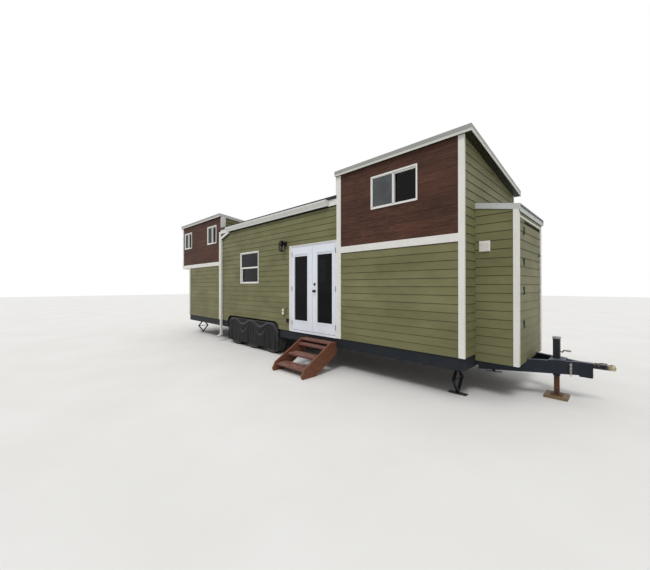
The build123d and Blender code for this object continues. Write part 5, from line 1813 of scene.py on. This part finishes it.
@dataclass
class DoorThreshold(Assembly):
    """Ribbed metal threshold on the door sill."""

    inset: float = 0.026
    back: float = 0.002
    width: float = 0.09
    drop: Span = (0.005, 0.0035)
    ribs: int = 4
    rib_from: float = 0.004
    rib_pitch: float = 0.0045
    rib_t: float = 0.002

    def build(self) -> None:
        """Lay the threshold with its ribs."""
        low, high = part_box("door_frame")
        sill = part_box("left_door_leaf")[0].z
        x0, x1, y0 = low.x + self.inset, high.x - self.inset, low.y + self.back
        foot, top = sill - self.drop[0], sill - self.drop[1]
        mesh = bmesh.new()
        add_block(mesh, (x0, y0, foot), (x1, y0 + self.width, top))
        for index in range(self.ribs):
            y = y0 + self.rib_from + index * self.rib_pitch
            add_block(mesh, (x0, y, top), (x1, y + self.rib_t, top + self.rib_t))
        self.shop.piece("door_threshold", mesh, "hinge_steel")


@dataclass
class WheelNuts(Assembly):
    """Ring of nuts and a cap on each wheel."""

    nuts: int = 8
    nut_r: float = 0.0105
    nut_h: float = 0.02
    nut_taper: float = 0.8
    nut_circle: float = 0.083
    disc_in: float = 0.07
    cap_r: Span = (0.046, 0.04)
    cap_h: float = 0.035

    def build(self) -> None:
        """Set the nuts and caps on the outer side of every rim."""
        low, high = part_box("wheel_rims")
        middle = (low.y + high.y) / 2
        nuts, caps = bmesh.new(), bmesh.new()
        for low, high in self.shop.islands("wheel_rims"):
            face = -1.0 if high.y < middle else 1.0
            outer = low.y if face < 0 else high.y
            centre = Vector(((low.x + high.x) / 2, outer - face * self.disc_in, (low.z + high.z) / 2))
            add_rod(caps, centre, (0, face * self.cap_h, 0), self.cap_r[0], sides=28,
                    end_radius=self.cap_r[1])
            for index in range(self.nuts):
                angle = math.tau * (index + 0.5) / self.nuts
                spot = centre + Vector((math.cos(angle), 0, math.sin(angle))) * self.nut_circle
                add_rod(nuts, spot, (0, face * self.nut_h, 0), self.nut_r, sides=6,
                        end_radius=self.nut_taper * self.nut_r)
        self.shop.piece("wheel_nuts", nuts, "chain_steel", SCREW)
        self.shop.piece("wheel_caps", caps, "axle_steel", smooth=0.6)


@dataclass
class TongueFittings(Assembly):
    """Bolts on the tongue, the pressed cap of the jack and the sleeve on its crank."""

    bolt_r: float = 0.011
    bolt_h: float = 0.009
    plate_bolt_x: Span = (-0.012, 0.118)
    plate_bolt_y: float = 0.062
    nose_bolt_x: Span = (0.02, 0.06)
    nose_bolt_r: float = 0.0088
    nose_bolt_h: float = 0.012
    nose_bolt_in: float = 0.022
    cap_w: float = 0.095
    cap_z: Span = (0.03, 0.003)
    cap_arris: float = 0.005
    crank_r: float = 0.014
    sleeve_r: float = 0.0148
    sleeve_w: float = 0.06
    sleeve_out: float = 0.001
    sleeve_arris: float = 0.002

    def build(self) -> None:
        """Fit them all."""
        self.bolts()
        self.jack_cap()
        self.crank_sleeve()

    def bolts(self) -> None:
        """Set bolts through the jack plate and the nose channel."""
        low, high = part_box("tongue_plates")
        y = (low.y + high.y) / 2
        jack_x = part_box("jack_tube")[0].x
        mesh = bmesh.new()
        for dx in self.plate_bolt_x:
            for dy in (-self.plate_bolt_y, self.plate_bolt_y):
                add_rod(mesh, (jack_x + dx, y + dy, high.z), (0, 0, self.bolt_h), self.bolt_r, sides=6)
        low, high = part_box("coupler")
        z, half = (low.z + high.z) / 2, (high.y - low.y) / 2 - self.nose_bolt_in
        for face in (-1.0, 1.0):
            for dx in self.nose_bolt_x:
                add_rod(mesh, (low.x + dx, y + face * half, z), (0, face * self.nose_bolt_h, 0),
                        self.nose_bolt_r, sides=6)
        self.shop.piece("tongue_bolts", mesh, "coupler_steel", SCREW)

    def jack_cap(self) -> None:
        """Put the pressed cap on the jack's tube, over its pad."""
        top = max(high.z for low, high in self.shop.islands("jack_tube"))
        low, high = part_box("jack_pad")
        centre, half = (low + high) / 2, self.cap_w / 2
        mesh = bmesh.new()
        add_block(mesh, (centre.x - half, centre.y - half, top - self.cap_z[0]),
                  (centre.x + half, centre.y + half, top + self.cap_z[1]))
        soften(mesh, self.cap_arris, segments=3)
        self.shop.piece("jack_cap", mesh, "coupler_steel", CAP, smooth=0.5)

    def crank_sleeve(self) -> None:
        """Put the sleeve on the end of the jack's crank, the part that reaches furthest across."""
        low, high = max(self.shop.islands("jack_tube"), key=lambda box: box[1].y)
        mesh = bmesh.new()
        add_rod(mesh, (high.x - self.sleeve_w, high.y - self.crank_r, (low.z + high.z) / 2),
                (self.sleeve_w + self.sleeve_out, 0, 0), self.sleeve_r, sides=24)
        soften(mesh, self.sleeve_arris)
        self.shop.piece("crank_sleeve", mesh, "coupler_steel", GRIP, smooth=0.7)


@dataclass
class TreadScrews(Assembly):
    """Two screws through each end of every tread of the steps."""

    radius: float = 0.0045
    inset: float = 0.02
    shares: Span = (0.25, 0.75)
    below: float = 0.002
    above: float = 0.0008

    def build(self) -> None:
        """Set the screws with their heads just proud of the treads."""
        mesh = bmesh.new()
        for low, high in self.shop.islands("step_treads"):
            for x in (low.x + self.inset, high.x - self.inset):
                for share in self.shares:
                    y = low.y + share * (high.y - low.y)
                    add_rod(mesh, (x, y, high.z - self.below), (0, 0, self.below + self.above), self.radius,
                            sides=10)
        self.shop.piece("tread_screws", mesh, "hinge_steel", SCREW)


@dataclass
class WheelCover(Assembly):
    """Soft cover over the near wheels: one sheet held over each wheel, which swags between them."""

    across: int = 104
    down: int = 30
    flat: Span = (2.6, 0.75)
    thickness: float = 0.0025
    space: float = 0.0485
    slack: float = 0.006
    steps: int = 40
    wheel_reach: float = 1.0
    top_sag: float = 0.012
    corner_from: float = 0.4
    corner_drop: float = 0.15
    hang_out: float = 0.040
    ripple: float = 0.004
    ripple_waves: Sequence[float] = (17.0, 3.0, 7.0)
    fold_half: float = 0.034
    upper_fold: Span = (0.05, 0.13)
    upper_in: float = 0.032
    upper_pinned: float = 0.016
    under_pinned: Span = (0.055, 0.085)
    lower_fold: Span = (0.10, 0.30)
    lower_in: float = 0.022
    lower_pinned: float = 0.012
    lower_from: float = 0.35
    end_fold: Span = (0.43, 0.022)
    end_in: float = 0.012
    squeeze: float = 1.4
    hem_below: float = 0.005
    cloth: tuple[tuple[str, float], ...] = (
        ("quality", 6), ("mass", 0.35), ("tension_stiffness", 18.0), ("compression_stiffness", 18.0),
        ("shear_stiffness", 6.0), ("bending_stiffness", 0.8), ("air_damping", 2.0))

    def build(self) -> None:
        """Hang the sheet in the place of its solid."""
        low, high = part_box("tyre_cover")
        wheels = sorted({round((a.x + b.x) / 2, 4) for a, b in self.shop.islands("tyres")
                         if a.y < low.y + self.wheel_reach})
        mesh = bmesh.new()
        bmesh.ops.create_grid(mesh, x_segments=self.across, y_segments=self.down, size=0.5)
        held = []
        for vert in mesh.verts:
            u, v = vert.co.x + 0.5, vert.co.y + 0.5
            vert.co, fixed = self.point(u, v, low, high, wheels)
            if fixed or v > 1 - 0.5 / self.down:
                held.append(vert.index)
        cover = self.shop.piece("tyre_cover_sheet", mesh, "cover_vinyl", smooth=3.2)
        self.hang(cover, held)
        self.press(cover, low)
        solid = cover.modifiers.new("cloth", "SOLIDIFY")
        solid.thickness = self.thickness
        solid.offset = 0.0
        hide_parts("tyre_cover")

    def point(self, u: float, v: float, low: Vector, high: Vector,
              wheels: Sequence[float]) -> tuple[Vector, bool]:
        """Place of one point of the sheet before it is let hang.

        Args:
            u: Position along the sheet from 0 to 1.
            v: Position up the sheet from 0 to 1.
            low: Lowest corner of the space for the cover.
            high: Highest corner.
            wheels: Places of the wheels along the house.

        Returns:
            The point in the model, and whether a fold that swags from wheel to wheel holds it there.
        """
        x = low.x + (high.x - low.x) * u
        swag = 0.5 - 0.5 * math.cos(math.tau * (x - wheels[1]) / (wheels[1] - wheels[0]))
        off_middle = abs(u - 0.5)
        corner = max(off_middle - self.corner_from, 0.0) / (0.5 - self.corner_from)
        z = low.z + (high.z - low.z) * v - self.top_sag * v ** 2 - self.corner_drop * corner ** 2 * v
        drop = (high.z - low.z) * (1 - v)
        past = drop - self.upper_fold[0] - self.upper_fold[1] * swag
        deeper = drop - self.lower_fold[0] - self.lower_fold[1] * swag
        even, uneven, slow = self.ripple_waves
        ripple = self.ripple * math.sin(even * u * math.pi + uneven * math.sin(slow * u)) * (1 - v)
        upper = self.upper_in * math.exp(-(past / self.fold_half) ** 2)
        lower = self.lower_in * swag * math.exp(-(deeper / self.fold_half) ** 2)
        ends = self.end_in * math.exp(-((off_middle - self.end_fold[0]) / self.end_fold[1]) ** 2) * (1 - v)
        y = self.hang_out + ripple - upper - lower - ends
        on_upper = abs(past) < self.upper_pinned
        under_it = self.under_pinned[0] < past < self.under_pinned[1]
        on_lower = swag > self.lower_from and abs(deeper) < self.lower_pinned
        return Vector((x, low.y + y, z)), on_upper or under_it or on_lower

    def hang(self, cover: bpy.types.Object, held: Sequence[int]) -> None:
        """Let the sheet hang from its held points, and keep the result in its mesh.

        Args:
            cover: The sheet.
            held: Numbers of the vertices that stay where they are.
        """
        scene = bpy.context.scene
        group = cover.vertex_groups.new(name="held")
        group.add(list(held), 1.0, "REPLACE")
        cloth = cover.modifiers.new("hang", "CLOTH")
        for key, value in self.cloth:
            setattr(cloth.settings, key, value)
        cloth.settings.shrink_min = -self.slack
        cloth.settings.vertex_group_mass = group.name
        cloth.point_cache.frame_start = 1
        cloth.point_cache.frame_end = self.steps
        for frame in range(1, self.steps + 1):
            scene.frame_set(frame)
        depsgraph = bpy.context.evaluated_depsgraph_get()
        hung = bpy.data.meshes.new_from_object(cover.evaluated_get(depsgraph), depsgraph=depsgraph)
        cover.modifiers.clear()
        cover.vertex_groups.clear()
        cover.data = hung
        scene.frame_set(1)

    def press(self, cover: bpy.types.Object, low: Vector) -> None:
        """Press the folds against the tyres, so that they stay in the space in front of them.

        Args:
            cover: The sheet.
            low: Lowest corner of the space for the cover.
        """
        vertices = cover.data.vertices
        depths = sorted(vert.co.y for vert in vertices)
        middle = depths[len(depths) // 2]
        half = self.space / 2 - self.thickness
        centre = low.y + self.space / 2
        for vert in vertices:
            vert.co.y = centre + half * math.tanh((vert.co.y - middle) / (self.squeeze * half))
            vert.co.z = max(vert.co.z, low.z - self.hem_below)


@dataclass
class Studio:
    """Camera, soft lights, pale floor and white surroundings."""

    eye: Sequence[float] = (6.0999, -5.3485, 1.6764)
    ahead: Sequence[float] = (-0.7046, 0.7096, 0.0037)
    lens: float = 16.96
    sensor: float = 36.0
    reach: float = 200.0
    sky: float = 0.42
    sky_tone: Colour = (0.94, 0.97, 1.0, 1.0)
    white: Colour = (1.0, 1.0, 1.0, 1.0)
    overhead: float = 1.1
    overhead_spread: float = 80.0
    overhead_way: Sequence[float] = (0.05, 0.1, -1.0)
    sun: float = 1.15
    sun_spread: float = 16.0
    sun_way: Sequence[float] = (-0.30, 0.58, -0.8)
    floor_reach: float = 60.0
    floor_dark: Colour = shade(226, 224, 220)
    floor_light: Colour = shade(232, 230, 227)

    def build(self) -> None:
        """Set up the whole studio."""
        bpy.context.scene.view_settings.view_transform = "Standard"
        self.camera()
        self.world()
        self.lamp("overhead_sun", self.overhead, self.overhead_spread, self.overhead_way)
        self.lamp("soft_sun", self.sun, self.sun_spread, self.sun_way)
        self.floor()

    @staticmethod
    def aim(name: str, data: bpy.types.ID, way: Sequence[float]) -> bpy.types.Object:
        """Add a camera or lamp that points in a direction.

        Args:
            name: Name of the object.
            data: Its camera or lamp.
            way: The direction.

        Returns:
            The new object.
        """
        made = bpy.data.objects.new(name, data)
        made.rotation_euler = Vector(way).to_track_quat("-Z", "Y").to_euler()
        bpy.context.scene.collection.objects.link(made)
        return made

    def camera(self) -> None:
        """Set the camera at the picture's place and angle."""
        data = bpy.data.cameras.new("view")
        data.lens = self.lens
        data.sensor_width = self.sensor
        data.clip_end = self.reach
        made = self.aim("view", data, self.ahead)
        made.location = self.eye
        bpy.context.scene.camera = made

    def world(self) -> None:
        """Set a soft sky that shows as plain white."""
        world = bpy.data.worlds.new("sky")
        bpy.context.scene.world = world
        world.use_nodes = True
        tree = world.node_tree
        back = tree.nodes["Background"]
        white = tree.nodes.new("ShaderNodeBackground")
        for node, tone, strength in ((back, self.sky_tone, self.sky), (white, self.white, 1.0)):
            node.inputs["Color"].default_value = tone
            node.inputs["Strength"].default_value = strength
        path = tree.nodes.new("ShaderNodeLightPath")
        share = path.outputs["Is Camera Ray"]
        for name in ("Is Glossy Ray", "Is Transmission Ray"):
            seen = tree.nodes.new("ShaderNodeMath")
            seen.operation = "MAXIMUM"
            tree.links.new(share, seen.inputs[0])
            tree.links.new(path.outputs[name], seen.inputs[1])
            share = seen.outputs[0]
        mixed = tree.nodes.new("ShaderNodeMixShader")
        for index, source in enumerate((share, back.outputs[0], white.outputs[0])):
            tree.links.new(source, mixed.inputs[index])
        tree.links.new(mixed.outputs[0], tree.nodes["World Output"].inputs["Surface"])

    def lamp(self, name: str, energy: float, spread: float, way: Sequence[float]) -> None:
        """Add one wide sun.

        Args:
            name: Name of the lamp.
            energy: Its strength.
            spread: Angle that it covers in degrees.
            way: Direction in which it shines.
        """
        data = bpy.data.lights.new(name, "SUN")
        data.energy = energy
        data.angle = math.radians(spread)
        self.aim(name, data, way)

    def floor(self) -> None:
        """Lay the pale floor."""
        mesh = bmesh.new()
        bmesh.ops.create_grid(mesh, x_segments=2, y_segments=2, size=self.floor_reach)
        data = bpy.data.meshes.new("floor")
        mesh.to_mesh(data)
        mesh.free()
        graph = ShaderGraph("floor_pale")
        cloud = graph.noise(graph.place(), 0.7, detail=5.0)
        graph.paint(graph.ramp(cloud, [(0.3, self.floor_dark), (0.7, self.floor_light)]))
        graph.plain(Roughness=0.9)
        data.materials.append(graph.material)
        made = bpy.data.objects.new("floor", data)
        bpy.context.scene.collection.objects.link(made)


def dress_nodes(shop: Workshop) -> None:
    """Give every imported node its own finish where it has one, or else that of its material slot.

    Args:
        shop: Workshop that keeps the frame and makes the materials.
    """
    for name, node in shop.frame["nodes"].items():
        slots = [slot.material.name.split(".")[0] for slot in node.material_slots if slot.material]
        finish = NODE_FINISHES.get(name) or (SLOT_FINISHES.get(slots[0]) if slots else None)
        if finish is None:
            LOG.warning("%s has no finish for %s", name, slots)
            continue
        for slot in node.material_slots:
            slot.material = shop.coat(finish)


def main() -> None:
    """Load the frame, dress it and set up the studio."""
    logging.basicConfig(level=logging.INFO, format="%(message)s")
    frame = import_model()
    shop = Workshop(frame)
    dress_nodes(shop)
    for assembly in (Cladding, ClosetCladding, RoofMetal, GutterTrim, GlassFittings, VentLouvres, BoxLids,
                     LanternFittings, DoorThreshold, WheelNuts, TongueFittings, TreadScrews, WheelCover):
        assembly(shop).build()
    Studio().build()


if __name__ == "__main__":
    main()
